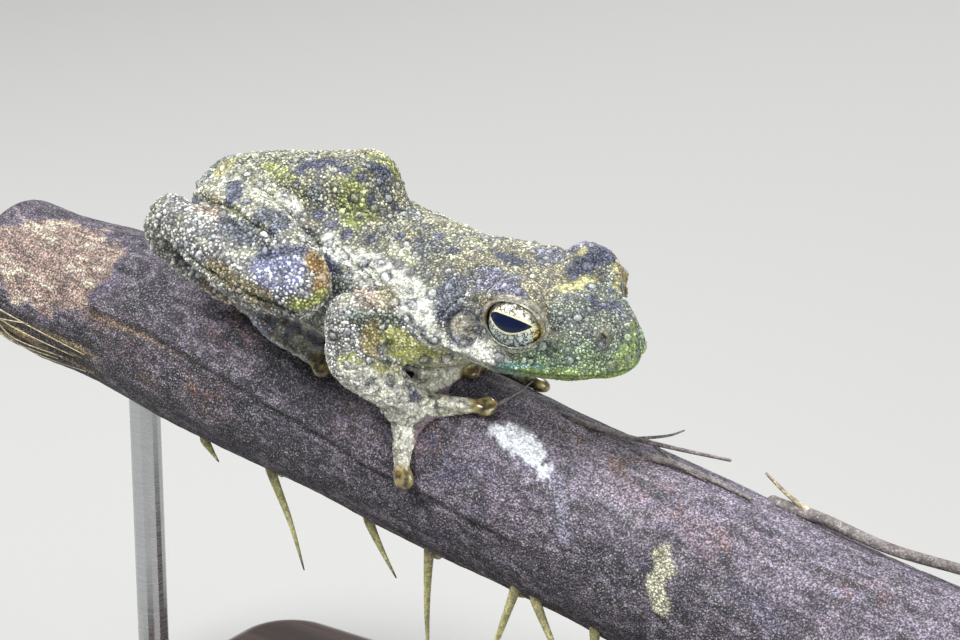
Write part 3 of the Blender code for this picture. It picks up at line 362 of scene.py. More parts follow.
# A distance past everything on the frog.
FAR = 99.0
# Cells that each form is fused from, and then the whole skin.
HEAD_CELL = 0.24
BODY_CELL = 0.36
HAND_CELL = 0.2
WHOLE_CELL = 0.26
# Share of the skin's faces in the light copy that bake places are read from, and its unwrapping's angle.
LIGHT_SHARE = 0.06
UNWRAP_ANGLE = 66.0
# Grains to a square metre before any is taken out, and the size of a grain's own patch on the bake map.
GRAIN_DENSITY = 3.0e7
PATCH_SIZE = 0.0015

# The seam in the bark and other places on the branch: along it, and degrees turned from its ridge.
SEAM = ((-39.0, 71.0), (-29.0, 72.0), (-19.0, 77.0), (-8.0, 81.0), (2.0, 88.0), (11.0, 88.0), (21.0, 91.0))
SCAR_MIDDLE = (-46.4, 44.0)
SCAR_REACH = (9.0, 44.0)
DROPPING = (
    ((13.4, 31.0), 0.9),
    ((14.6, 30.0), 1.3),
    ((15.6, 31.5), 1.7),
    ((17.0, 33.0), 1.6),
    ((18.6, 36.0), 1.3),
    ((20.6, 42.0), 0.9),
)
FLAKE = ((36.2, 56.0), (37.2, 64.0), (36.6, 72.0), (38.0, 83.0))
BLOOM = ((-20.0, 47.0), (7.0, 55.0), (33.0, 27.0), (41.0, 34.0), (56.0, 25.0), (-2.0, 66.0), (-36.0, 84.0))
RUST = ((-37.0, 86.0), (-34.0, 90.0), (-21.0, 94.0), (19.0, 12.0), (21.0, 12.0), (27.0, 14.0), (-30.0, 98.0))
SHADE = ((-9.5, 56.0), (30.0, 75.0), (-31.0, 52.0), (-14.5, 81.0), (-26.0, 60.0), (-5.0, 70.0))
THORNS = (
    (-23.2, 151.0, 2.4, 1.6),
    (-13.8, 150.0, 6.3, 9.4),
    (-0.4, 150.0, 4.7, 4.8),
    (8.4, 142.0, 2.6, 13.0),
    (19.9, 134.0, -2.0, 12.0),
    (22.5, 134.0, 6.0, 7.2),
    (29.9, 134.0, 2.2, 7.5),
    (41.0, 196.0, 2.5, 8.0),
    (53.0, 165.0, -2.0, 7.0),
    (3.5, 222.0, 2.0, 7.5),
    (-19.0, 214.0, -2.0, 6.5),
    (64.0, 150.0, 2.5, 6.5),
)
# Dry twigs on the branch: places along it, turned from its ridge and above it, and their radii.
TWIGS = (
    (((17.5, -5.0, -0.2), (23.0, -4.0, 0.6), (29.0, -8.0, 1.3), (36.0, -12.0, 2.4)), 0.42, 0.16),
    (((25.6, -6.0, 0.8), (28.4, -14.0, 2.0), (29.6, -18.0, 3.0)), 0.22, 0.08),
    (((28.0, -8.0, 0.9), (31.6, -2.0, 0.5), (35.0, -1.0, 0.2)), 0.2, 0.1),
    (((28.0, 0.0, 0.1), (32.0, -2.0, 0.5), (36.0, -3.0, 0.4), (40.0, -4.0, 0.2)), 0.45, 0.2),
    (((41.0, -24.0, -0.2), (47.0, -16.0, 0.8), (55.0, -12.0, 1.2),
      (64.0, -14.0, 2.2), (72.0, -18.0, 2.6)), 0.7, 0.5),
    (((40.0, -14.0, 2.6), (43.0, -16.0, 1.4), (46.4, -17.0, 0.7)), 0.12, 0.3),
    (((11.2, 14.0, -0.1), (12.6, 8.0, 1.2), (13.6, 1.0, 2.6)), 0.3, 0.07),
)
FIBRES = (
    ((-54.0, 96.0, 0.5), (-47.0, 98.0, 0.5), (-38.0, 106.0, 0.2)),
    ((-56.0, 104.0, 0.4), (-48.0, 106.0, 0.6), (-40.0, 113.0, 0.1)),
    ((-52.0, 111.0, 0.3), (-49.0, 117.0, 0.7), (-42.0, 119.0, 0.2)),
    ((-54.0, 113.0, 0.3), (-50.0, 122.0, 0.8), (-43.0, 124.0, 0.2)),
    ((-56.5, 80.0, 0.9), (-52.5, 92.0, 0.3)),
    ((-51.0, 103.0, 0.9), (-46.5, 97.0, 0.5)),
    ((-55.5, 120.0, 0.2), (-47.0, 128.0, 0.4), (-39.0, 128.0, 0.0)),
)

THORN_SEED = 3
# Pale run and streak on the bark, along it and across it in millimetres.
RUN = ((21.5, 7.2), (24.0, 9.6), (25.4, 12.4))
STREAK = ((26.6, 6.6), (32.6, 8.2))
SAWN_RINGS = 15
PITH_RADIUS = 1.6

# The stand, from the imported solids' boxes. The base's edge: how far in from the box, and how high.
BASE_BOX = tuple(tuple(value / MM for value in corner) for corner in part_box("stand_base"))
BASE_CORNER = 9.0
BASE_EDGE = (
    (0.5, 0.0), (0.0, 0.5), (0.0, 2.6), (0.25, 2.9), (0.9, 3.0), (1.0, 3.25), (1.15, 3.9),
    (1.7, 4.8), (2.6, 5.5), (3.6, 5.9))
COLLAR_BORE = 2.05
COLLAR_SIDES = 64

# The stage: lights by their direction (back, up and to the right), distance, size and power.
VIEW_MIDDLE = (6.0, 0.0, 16.4)
FLOOR_RADIUS = 3.0
LIGHTS = (
    ("key", (0.55, 1.0, -0.7), 0.55, 0.26, 5.4),
    ("fill", (0.9, 0.1, 0.9), 0.6, 0.5, 3.8),
    ("rim", (-0.6, 0.8, 0.3), 0.6, 0.3, 1.6),
)


class TreeFrogSkin(bpy.types.PropertyGroup):
    """Sizes and colours of the skin and what stands on it."""

    cell: FloatProperty(
        name="Skin cell", description="Size of the cells that the skin is rebuilt from",
        default=0.00017, min=0.00008, max=0.001, precision=5, unit="LENGTH", subtype="DISTANCE")
    faces: IntProperty(
        name="Skin faces", description="Most triangles that the skin may have", default=194000)
    grain_gap: FloatProperty(
        name="Grain gap", description="Least distance between two grains of the trunk's skin",
        default=0.00032, precision=5, unit="LENGTH", subtype="DISTANCE")
    grain_size: FloatProperty(
        name="Grain size", description="Radius of a grain of the skin",
        default=0.00023, precision=5, unit="LENGTH", subtype="DISTANCE")
    wart_gap: FloatProperty(
        name="Wart gap", description="Least distance between two large warts of the back",
        default=0.0017, precision=4, unit="LENGTH", subtype="DISTANCE")
    seed: IntProperty(name="Seed", description="Start of the random draws", default=7)
    pupil: FloatVectorProperty(
        name="Pupil", description="Colour of the pupil", subtype="COLOR", size=4,
        default=(*srgb(10, 22, 50), 1.0))
    iris: FloatVectorProperty(
        name="Iris", description="Colour of the iris", subtype="COLOR", size=4,
        default=(*srgb(222, 220, 200), 1.0))


class TreeFrogStand(bpy.types.PropertyGroup):
    """Colours of the perch and its stand."""

    bark: FloatVectorProperty(
        name="Bark", description="Main colour of the bark", subtype="COLOR", size=4,
        default=(*srgb(106, 94, 108), 1.0))
    thorn: FloatVectorProperty(
        name="Thorn", description="Colour of the thorns", subtype="COLOR", size=4,
        default=(*srgb(176, 172, 120), 1.0))
    wood: FloatVectorProperty(
        name="Wood", description="Colour of the base", subtype="COLOR", size=4,
        default=(*srgb(62, 48, 42), 1.0))
    steel: FloatVectorProperty(
        name="Steel", description="Colour of the rods", subtype="COLOR", size=4,
        default=(*srgb(186, 188, 190), 1.0))


class TreeFrogStage(bpy.types.PropertyGroup):
    """Camera, floor and light."""

    azimuth: FloatProperty(
        name="Camera turn", description="How far the camera stands round to the frog's right front",
        default=math.radians(35.0), unit="ROTATION", subtype="ANGLE")
    elevation: FloatProperty(
        name="Camera height", description="How far above the horizon the camera stands",
        default=math.radians(20.0), unit="ROTATION", subtype="ANGLE")
    distance: FloatProperty(
        name="Camera distance", description="Distance from the camera to the middle of the view",
        default=0.33, unit="LENGTH", subtype="DISTANCE")
    lens: FloatProperty(name="Lens", description="Focal length in millimetres", default=120.0)
    floor: FloatVectorProperty(
        name="Floor", description="Colour of the floor", subtype="COLOR", size=4,
        default=(0.42, 0.42, 0.41, 1.0))


# Numbers and frames

def branch_matrix():
    return Matrix.Translation(BRANCH_MIDDLE) @ Matrix.Rotation(BRANCH_SLOPE, 4, "Y")


BRANCH = np.array(branch_matrix())
HEAD = np.array(branch_matrix() @ Matrix.Translation(HEAD_MIDDLE) @ HEAD_TURN.to_matrix().to_4x4())


def placed(matrix, points):
    """Points of a frame, in the part's frame."""
    return np.asarray(points, float) @ matrix[:3, :3].T + matrix[:3, 3]


def seen_from(matrix, points):
    """Points of the part's frame, in another frame."""
    return (points - matrix[:3, 3]) @ matrix[:3, :3]


def eased(low, high, value):
    """From 0 to 1 as a value passes from low to high, without corners."""
    share = np.clip((value - low) / (high - low), 0.0, 1.0)
    return share * share * (3.0 - 2.0 * share)


def lumps(points, size, seed):
    """Smooth noise from -1 to 1 with lumps of about one size, or of a size for each axis."""
    grid = points / np.asarray(size) + 17.31 * seed
    cell = np.floor(grid)
    part = grid - cell
    part = part * part * (3.0 - 2.0 * part)
    total = np.zeros(len(points))
    for corner in itertools.product((0, 1), repeat=3):
        value = np.sin((cell + corner) @ np.array((127.1, 311.7, 74.7))) * 43758.5453
        weight = np.prod(np.where(corner, part, 1.0 - part), axis=1)
        total += weight * (value - np.floor(value))
    return 2.0 * total - 1.0


def mottle(points, size, seed):
    """Noise with three sizes of lump."""
    size = np.asarray(size)
    fine = 0.5 * lumps(points, size / 2.1, seed + 1) + 0.3 * lumps(points, size / 4.3, seed + 2)
    return (lumps(points, size, seed) + fine) / 1.5


def distance_to(points, route):
    """Least distance from each point to a route of straight lengths, or to one place."""
    route = np.asarray(route, float)
    least = np.linalg.norm(points - route[0], axis=1)
    for start, end in zip(route, route[1:]):
        line = end - start
        share = np.clip((points - start) @ line / (line @ line), 0.0, 1.0)
        least = np.minimum(least, np.linalg.norm(points - start - share[:, None] * line, axis=1))
    return least


def bell(value, width):
    """1 where a value is zero, fading to 0 on both sides."""
    return np.exp(-(value / width) ** 2)


def near(points, route, reach):
    """1 on a route, fading to 0 away from it."""
    return bell(distance_to(points, route), reach)


def refine(rows, steps):
    """Rows of numbers with smooth rows added between them."""
    rows = np.asarray(rows, float)
    padded = np.vstack([rows[:1], rows, rows[-1:]])
    share = (np.arange(steps) / steps)[:, None]
    out = []
    for a, b, c, d in zip(padded, padded[1:], padded[2:], padded[3:]):
        curve = 2.0 * b + (c - a) * share + (2.0 * a - 5.0 * b + 4.0 * c - d) * share ** 2
        out.append(0.5 * (curve + (3.0 * b - a - 3.0 * c + d) * share ** 3))
    return np.vstack(out + [rows[-1:]])


def thin_end(along):
    """How far the top of the branch has dropped where it thins towards its back end."""
    start, span, drop = THIN_END
    return drop * eased(0.0, span, start - np.asarray(along, float))


def branch_ring(along):
    """Centre height and radius of the branch at places along it."""
    along = np.asarray(along, float)
    swell = 0.35 * bell(along + 47.0, 5.0)
    drop = thin_end(along)
    return -0.5 * drop, BRANCH_RADIUS - 0.5 * drop + swell + 0.12 * np.sin(0.21 * along)


def round_branch(along, turn, height):
    """Points above the branch's surface, turned in degrees from its ridge to the frog's right."""
    centre, radius = branch_ring(along)
    angle = np.radians(turn)
    reach = radius + height
    grids = np.broadcast_arrays(along, -reach * np.sin(angle), centre + reach * np.cos(angle))
    return np.stack(grids, axis=-1)


# Shapes

def circle(sides):
    """Evenly spaced angles of a full turn."""
    return 2.0 * np.pi * np.arange(sides) / sides


def level_ring(radius, level, sides, middle=(0.0, 0.0)):
    """Points of a level circle round an upright axis."""
    angle = circle(sides)
    x, y = middle[0] + radius * np.cos(angle), middle[1] + radius * np.sin(angle)
    return np.stack([x, y, level + 0.0 * angle], axis=1)


def stacked(rings, start, end):
    """A closed shape through rings of points, with a pole at each end."""
    count, sides = rings.shape[:2]
    points = np.concatenate([rings.reshape(-1, 3), [start], [end]])
    faces = []
    for k in range(sides):
        n = (k + 1) % sides
        for low in range(0, (count - 1) * sides, sides):
            faces.append((low + k, low + n, low + sides + n, low + sides + k))
        last = (count - 1) * sides
        faces.append((n, k, count * sides))
        faces.append((last + k, last + n, count * sides + 1))
    return Shape(points, faces)


def body(sections, matrix, square):
    """A closed body through upright sections, a little squarer than ellipses."""
    rows = refine(sections, 10)
    angle = circle(96)
    across, rise = (np.sign(wave) * np.abs(wave) ** (2.0 / square) for wave in (np.cos(angle), np.sin(angle)))
    along, half, top, bottom, middle = (column[:, None] for column in rows.T)
    reach = np.where(rise > 0.0, top - middle, middle - bottom)
    rings = np.stack(np.broadcast_arrays(along, half * across, middle + reach * rise), axis=2)
    poles = [(row[0] + way * 0.4 * row[1], 0.0, row[4]) for row, way in ((rows[0], -1.0), (rows[-1], 1.0))]
    return stacked(placed(matrix, rings), *placed(matrix, poles))


def limb(stations, matrix, sides=32, steps=8, flat=False):
    """A closed round-ended length through stations; `flat` keeps its width along the branch's surface."""
    rows = refine([(*point, wide, high) for point, wide, high in stations], steps)
    centres = rows[:, :3]
    ahead = np.gradient(centres, axis=0)
    ahead /= np.linalg.norm(ahead, axis=1)[:, None]
    up = centres * (0.0, 1.0, 1.0) if flat else np.tile((0.0, 0.0, 1.0), (len(rows), 1))
    side = np.cross(up, ahead)
    side /= np.linalg.norm(side, axis=1)[:, None]
    up = np.cross(ahead, side)
    angle = 2.0 * np.pi * (np.arange(sides) + 0.5) / sides
    turns = np.array((0.0, 0.3, 0.55, 0.78, 0.93)) * np.pi / 2.0

    def ring(index, shift, shrink):
        wide, high = rows[index, 3] * shrink, rows[index, 4] * shrink
        spread = side[index] * wide * np.cos(angle)[:, None] + up[index] * high * np.sin(angle)[:, None]
        return centres[index] + ahead[index] * shift + spread

    rings = []
    reach = [0.5 * (rows[index, 3] + rows[index, 4]) for index in (0, -1)]
    for turn in turns[:0:-1]:
        rings.append(ring(0, -reach[0] * math.sin(turn), math.cos(turn)))
    rings += [ring(index, 0.0, 1.0) for index in range(len(rows))]
    for turn in turns[1:]:
        rings.append(ring(-1, reach[1] * math.sin(turn), math.cos(turn)))
    poles = [centres[0] - ahead[0] * reach[0], centres[-1] + ahead[-1] * reach[1]]
    return stacked(placed(matrix, np.array(rings)), *placed(matrix, poles))


def ball(centre, radii, matrix, axis=(0.0, 0.0, 1.0), sides=32):
    """An ellipsoid whose third radius lies along an axis."""
    turn = np.array(Vector(axis).to_track_quat("Z", "Y").to_matrix())
    tilt = np.pi * np.arange(1, sides // 2) / (sides // 2)
    angle = circle(sides)
    flat = np.sin(tilt)[:, None]
    grids = (flat * np.cos(angle), flat * np.sin(angle), -np.cos(tilt)[:, None])
    rings = np.stack(np.broadcast_arrays(*grids), axis=2)
    radii = np.asarray(radii, float)
    ends = np.array(((0.0, 0.0, -1.0), (0.0, 0.0, 1.0)))
    rings, ends = ((grid * radii) @ turn.T + np.asarray(centre) for grid in (rings, ends))
    return stacked(placed(matrix, rings), *placed(matrix, ends))


def sheet(first, second, dip, matrix):
    """A web of skin between two digits' routes, its free edge curving in by `dip`."""
    first, second = (refine(route, 8) for route in (first, second))
    count = len(first)
    layers = []
    for height in (-0.05, 0.6):
        rows = []
        for share in np.arange(15) / 14:
            mixed = (1.0 - share) * first + share * second
            reach = 0.96 * (1.0 - dip * math.sin(math.pi * share) ** 0.8) * (count - 1)
            spots = np.linspace(0.0, reach, 18)
            spot = [np.interp(spots, np.arange(count), column) for column in mixed.T]
            rows.append(round_branch(spot[0], spot[1], height + 0.0 * spot[0]))
        layers.append(np.array(rows))
    rings = np.concatenate([layers[0], layers[1][:, ::-1]], axis=1)
    shape = stacked(rings, rings[0].mean(axis=0), rings[-1].mean(axis=0))
    return Shape(placed(matrix, shape.points), shape.faces)


def linked(item):
    """Put an object in the scene."""
    bpy.context.scene.collection.objects.link(item)
    return item


def made_object(name, shapes):
    """A mesh object of one or more shapes, still in millimetres."""
    points = []
    faces = []
    count = 0
    for shape in shapes:
        points.append(shape.points)
        faces += [tuple(index + count for index in face) for face in shape.faces]
        count += len(shape.points)
    mesh = bpy.data.meshes.new(name)
    mesh.from_pydata(np.concatenate(points).tolist(), [], faces)
    return linked(bpy.data.objects.new(name, mesh))


def outward(item):
    """Turn every face of an object outwards."""
    bm = bmesh.new()
    bm.from_mesh(item.data)
    bmesh.ops.recalc_face_normals(bm, faces=bm.faces)
    bm.to_mesh(item.data)
    bm.free()


def settle(item):
    """Replace an object's mesh by what its modifiers make of it."""
    graph = bpy.context.evaluated_depsgraph_get()
    done = item.evaluated_get(graph)
    mesh = bpy.data.meshes.new_from_object(done, preserve_all_data_layers=True, depsgraph=graph)
    item.modifiers.clear()
    item.data = mesh


def discard(*items):
    for item in items:
        bpy.data.objects.remove(item, do_unlink=True)


def remeshed(item, cell, smooth):
    """Fuse an object into one soft skin of even cells."""
    step = item.modifiers.new("fuse", "REMESH")
    step.mode = "VOXEL"
    step.voxel_size = cell
    settle(item)
    if smooth:
        step = item.modifiers.new("soften", "SMOOTH")
        step.factor = 0.5
        step.iterations = smooth
        settle(item)
    return item


def melted(name, shapes, cell, smooth):
    return remeshed(made_object(name, shapes), cell, smooth)


def joined(name, items):
    shapes = []
    for item in items:
        points = read(item.data, "vertices", "co", 3)
        shapes.append(Shape(points, [tuple(face.vertices) for face in item.data.polygons]))
    discard(*items)
    return made_object(name, shapes)


def read(mesh, rows, field, width):
    """A field of a mesh's vertices or normals, one row each."""
    values = np.zeros(len(getattr(mesh, rows)) * width, np.float32)
    getattr(mesh, rows).foreach_get(field, values)
    return values.reshape(-1, width).astype(float)


def normals_of(mesh):
    return read(mesh, "vertex_normals", "vector", 3)


def write_points(mesh, points):
    mesh.vertices.foreach_set("co", np.asarray(points, np.float32).ravel())
    mesh.update()


def keep(mesh, name, values):
    """Store numbers, or colours of three or four parts, on a mesh's points."""
    values = np.asarray(values, np.float32)
    if values.ndim == 1:
        mesh.attributes.new(name, "FLOAT", "POINT").data.foreach_set("value", values)
    elif name in ("way", "look"):
        mesh.attributes.new(name, "FLOAT_VECTOR", "POINT").data.foreach_set("vector", values.ravel())
    else:
        four = np.concatenate([values, np.ones((len(values), 1), np.float32)], axis=1)
        mesh.attributes.new(name, "FLOAT_COLOR", "POINT").data.foreach_set("color", four.ravel())


def finish_piece(item, finish, replaced=()):
    """Hand a piece, in metres by now, to the frame."""
    item.data.materials.clear()
    item.data.materials.append(finish)
    item.data.shade_smooth()
    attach(item, BODY)
    if replaced:
        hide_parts(*replaced)


def search_tree(points):
    """A tree that finds the points near a place."""
    tree = KDTree(len(points))
    for index, point in enumerate(points):
        tree.insert(point, index)
    tree.balance()
    return tree


def into_metres(item):
    item.data.transform(Matrix.Scale(MM, 4))
    item.data.update()


# Materials

def finish_shapes(name, shapes, slot, finish, replaced=(), sharp=None, **layers):
    """Make a piece of shapes in millimetres, with values on its points, and hand it to the frame."""
    item = made_object(name, shapes)
    outward(item)
    for layer, values in layers.items():
        keep(item.data, layer, values)
    into_metres(item)
    finish_piece(item, finish, replaced)
    if sharp:
        item.data.set_sharp_from_angle(angle=math.radians(sharp))


class Graph:
    """A node tree, with short ways to add and link its nodes."""

    def __init__(self, tree):
        self.tree = tree

    def feed(self, node, inputs):
        """Link a node's inputs to other nodes, or set them."""
        for key, value in inputs.items():
            if isinstance(value, bpy.types.NodeSocket):
                self.tree.links.new(value, node.inputs[key])
            else:
                node.inputs[key].default_value = value

    def add(self, kind, inputs=None, **settings):
        node = self.tree.nodes.new(kind)
        for key, value in settings.items():
            setattr(node, key, value)
        self.feed(node, inputs or {})
        return node

    def math(self, operation, first, second=0.0, clamp=False):
        node = self.add("ShaderNodeMath", {0: first, 1: second}, operation=operation, use_clamp=clamp)
        return node.outputs[0]

    def times(self, first, second, clamp=False):
        return self.math("MULTIPLY", first, second, clamp)

    def plus(self, first, second, clamp=False):
        return self.math("ADD", first, second, clamp)

    def minus(self, first, second):
        return self.math("SUBTRACT", first, second)

    def scaled(self, vector, scale):
        return self.add("ShaderNodeVectorMath", {0: vector, "Scale": scale}, operation="SCALE").outputs[0]

    def moved(self, vector, way):
        return self.add("ShaderNodeVectorMath", {0: vector, 1: way}, operation="ADD").outputs[0]

    def stretched(self, vector, scales):
        return self.add("ShaderNodeMapping", {"Vector": vector, "Scale": scales}).outputs[0]

    def mix(self, factor, first, second):
        return self.add("ShaderNodeMix", {0: factor, 6: first, 7: second}, data_type="RGBA").outputs[2]

    def noise(self, vector, scale, detail=2.0, rough=0.5, output="Fac"):
        inputs = {"Vector": vector, "Scale": scale, "Detail": detail, "Roughness": rough}
        return self.add("ShaderNodeTexNoise", inputs).outputs[output]

    def cells(self, vector, scale, feature="F1"):
        inputs = {"Vector": vector, "Scale": scale}
        return self.add("ShaderNodeTexVoronoi", inputs, feature=feature).outputs["Distance"]

    def span(self, value, low, high, out_low=0.0, out_high=1.0):
        inputs = {0: value, 1: low, 2: high, 3: out_low, 4: out_high}
        return self.add("ShaderNodeMapRange", inputs, interpolation_type="SMOOTHSTEP").outputs[0]

    def bump(self, height, strength, distance, invert=False):
        inputs = {"Height": height, "Strength": strength, "Distance": distance}
        return self.add("ShaderNodeBump", inputs, invert=invert).outputs[0]

    def attribute(self, name, output="Fac"):
        return self.add("ShaderNodeAttribute", attribute_name=name).outputs[output]

    def place(self):
        return self.add("ShaderNodeTexCoord").outputs["Object"]


def group_tree(name, inputs, outputs, kind="ShaderNodeTree"):
    """An empty node group with named sockets."""
    tree = bpy.data.node_groups.new(name, kind)
    for label, socket, default in inputs:
        made = tree.interface.new_socket(label, in_out="INPUT", socket_type="NodeSocket" + socket)
        if default is not None:
            made.default_value = default
    for label, socket in outputs:
        tree.interface.new_socket(label, in_out="OUTPUT", socket_type="NodeSocket" + socket)
    return tree


def fine_grain():
    """Shared by skin and bark: specks, cell edges darkened as painted shade in the hollows between cells, and
    fine relief on a tint. The pale specks are partly the surface's own flecks and partly painted glints.
    """
    found = bpy.data.node_groups.get("fine_grain")
    if found:
        return found
    tree = group_tree(
        "fine_grain",
        (("Tint", "Color", (0.5, 0.5, 0.5, 1.0)), ("Cells", "Float", 3000.0),
         ("Contrast", "Float", 0.5), ("Specks", "Float", 0.3)),
        (("Color", "Color"), ("Height", "Float"), ("Wear", "Float")))
    g = Graph(tree)
    given = g.add("NodeGroupInput").outputs
    place = g.place()
    warp = g.noise(place, 1400.0, 1.0, output="Color")
    spot = g.moved(place, g.scaled(warp, 0.00022))
    fine = g.noise(place, 5200.0, 3.0, 0.65)
    dome = g.span(g.cells(spot, given["Cells"]), 0.0, 0.75, 1.0, 0.0)
    # Painted shade: darker in the hollows at the cell edges, where the relief is low.
    dark = g.times(g.span(dome, 0.0, 0.55, 1.0, 0.0), given["Contrast"])
    colour = g.mix(dark, given["Tint"], (0.02, 0.022, 0.02, 1.0))
    # Pale specks: partly the surface's own flecks, partly painted glints.
    lift = g.times(g.span(fine, 0.52, 0.7), g.times(given["Specks"], 0.85), True)
    colour = g.mix(lift, colour, (0.78, 0.78, 0.72, 1.0))
    sink = g.times(g.span(fine, 0.5, 0.36), g.times(given["Specks"], 1.3), True)
    colour = g.mix(sink, colour, (0.015, 0.015, 0.02, 1.0))
    broad = g.span(g.noise(place, 420.0, 4.0, 0.6), 0.3, 0.7, 0.8, 1.2)
    middling = g.span(g.noise(spot, 1500.0, 2.0, 0.6), 0.32, 0.68, 0.74, 1.24)
    colour = g.scaled(colour, g.times(broad, middling))
    g.add("NodeGroupOutput", {"Color": colour, "Height": g.plus(dome, g.times(fine, 0.5)), "Wear": fine})
    return tree


def new_material(name):
    made = bpy.data.materials.new(name)
    made.use_nodes = True
    g = Graph(made.node_tree)
    return made, g, made.node_tree.nodes["Principled BSDF"]


def lid_lines(g, colour):
    """Thin dark lines round the lids, from the skin's own distance out from their edge."""
    out = g.attribute("lid")
    wander = g.times(g.minus(g.noise(g.place(), 1100.0), 0.5), 0.1)
    place = g.plus(out, wander)
    total = 0.0
    for line, width, strength in LID_LINES:
        gap = g.math("ABSOLUTE", g.minus(place, line))
        total = g.math("MAXIMUM", total, g.span(gap, 0.5 * width, width, strength, 0.0))
    return g.mix(g.times(total, g.math("GREATER_THAN", out, 0.02)), colour, rgba(30, 27, 24))


def grained_material(
        name, cells, contrast, specks, rough, relief, coat=0.0, attribute="tint", toned=False, lidded=False):
    """A finish whose tint is painted on the mesh, with specks and relief from the shared group."""
    made, g, shader = new_material(name)
    tint = g.attribute(attribute, "Color")
    if toned:
        tint = g.scaled(tint, g.span(g.attribute("tone"), 0.0, 1.0, 0.42, 1.3))
    wet = g.attribute("wet")
    dry = g.minus(1.0, wet)
    node = g.add("ShaderNodeGroup", node_tree=fine_grain())
    g.feed(node, {"Tint": tint, "Cells": cells, "Contrast": g.times(dry, contrast)})
    g.feed(node, {"Specks": g.times(dry, specks)})
    level = g.plus(g.times(dry, rough - 0.22), 0.22)
    worn = g.plus(level, g.times(g.minus(node.outputs["Wear"], 0.5), 0.3), True)
    height = g.times(node.outputs["Height"], g.plus(g.times(dry, 0.85), 0.15))
    colour = lid_lines(g, node.outputs["Color"]) if lidded else node.outputs["Color"]
    bump = g.bump(height, 0.8, relief)
    g.feed(shader, {"Base Color": colour, "Roughness": worn, "Normal": bump, "Specular IOR Level": 0.38})
    if coat:
        g.feed(shader, {"Coat Weight": g.times(wet, coat), "Coat Roughness": 0.12})
    return made


def eye_material():
    """Pupil, iris with dark veins, and its dark border, from the eye's own millimetres."""
    sizes = bpy.context.scene.tree_frog_skin
    made, g, shader = new_material("eye")
    look = g.attribute("look", "Vector")
    ahead, up, out = g.add("ShaderNodeSeparateXYZ", {0: look}).outputs
    back, front = PUPIL_BACK, PUPIL_FRONT
    share = g.math("DIVIDE", g.minus(ahead, back[0]), front[0] - back[0], True)
    left = g.minus(1.0, share)
    above = g.minus(up, g.plus(g.times(share, front[1] - back[1]), back[1]))
    upper, lower = (
        g.times(g.times(g.math("POWER", share, blunt), g.math("POWER", left, sharp)), size)
        for size, blunt, sharp in PUPIL_EDGES)
    wide = g.plus(g.times(g.math("GREATER_THAN", above, 0.0), g.minus(upper, lower)), lower)
    inside = g.minus(wide, g.math("ABSOLUTE", above))
    pupil = g.span(inside, -0.03, 0.03)
    edge = g.minus(g.span(inside, -0.26, -0.12), pupil)
    spot = g.moved(look, g.scaled(g.noise(look, 1.6, 3.0, output="Color"), 0.9))
    veins = g.span(g.cells(spot, 1.7, "DISTANCE_TO_EDGE"), 0.045, 0.12, 1.0, 0.0)
    thin = g.span(g.cells(spot, 3.6, "DISTANCE_TO_EDGE"), 0.05, 0.13, 1.0, 0.0)
    low = g.span(up, 0.4, -0.8)
    more = g.times(low, 0.1)
    shown = g.span(g.plus(g.noise(look, 1.1), more), 0.42, 0.5)
    some = g.span(g.plus(g.noise(look, 1.9), more), 0.53, 0.6)
    mask = g.math("MAXIMUM", g.times(veins, shown), g.times(thin, some))
    stain = g.span(g.noise(look, 6.5, 3.0), 0.52, 0.7)
    colour = g.mix(low, tuple(sizes.iris), rgba(196, 208, 204))
    colour = g.mix(g.span(ahead, 2.0, 2.7), colour, rgba(190, 176, 90))
    colour = g.mix(g.times(stain, 0.45), colour, rgba(120, 116, 96))
    colour = g.mix(g.times(mask, 0.93), colour, rgba(22, 24, 26))
    colour = g.mix(g.times(edge, 0.85), colour, rgba(216, 214, 170))
    colour = g.mix(g.span(out, 0.85, 0.6), colour, rgba(30, 30, 24))
    g.feed(shader, {
        "Base Color": g.mix(pupil, colour, tuple(sizes.pupil)),
        "Roughness": g.minus(0.34, g.times(pupil, 0.26)),
        "Normal": g.bump(mask, 0.2, 0.00005, True),
        "Specular IOR Level": 0.2, "Coat Weight": 0.3, "Coat Roughness": 0.04})
    return made


def dimmed(colour, share):
    """A solid colour, darker or lighter."""
    return tuple(share * value for value in colour[:3]) + (1.0,)


def wood_material():
    """Dark lacquered wood with its grain along the base."""
    wood = bpy.context.scene.tree_frog_stand.wood
    made, g, shader = new_material("base_wood")
    place = g.place()
    grain = g.noise(g.stretched(place, (9.0, 120.0, 120.0)), 2.2, 6.0, 0.62)
    pores = g.noise(g.stretched(place, (60.0, 1500.0, 1500.0)), 1.4, 3.0)
    toned = g.mix(g.span(grain, 0.35, 0.68), tuple(wood), dimmed(wood, 2.1))
    g.feed(shader, {
        "Base Color": g.mix(g.times(g.span(pores, 0.56, 0.7), 0.6), toned, (0.01, 0.008, 0.007, 1.0)),
        "Roughness": g.span(grain, 0.3, 0.7, 0.28, 0.38),
        "Normal": g.bump(pores, 0.25, 0.0001, True), "Coat Weight": 0.35, "Coat Roughness": 0.18})
    return made


def steel_material():
    """Steel brushed round its upright axis."""
    steel = bpy.context.scene.tree_frog_stand.steel
    made, g, shader = new_material("rod_steel")
    place = g.place()
    lines = g.noise(g.stretched(place, (220.0, 220.0, 9000.0)), 1.0, 3.0)
    smudge = g.span(g.noise(place, 180.0, 4.0), 0.5, 0.7, 0.0, 0.08)
    g.feed(shader, {
        "Base Color": g.mix(g.span(lines, 0.3, 0.7), dimmed(steel, 0.82), tuple(steel)),
        "Roughness": g.plus(g.span(lines, 0.3, 0.7, 0.22, 0.34), smudge),
        "Normal": g.bump(lines, 0.15, 0.00003), "Metallic": 1.0})
    return made


# The frog's form

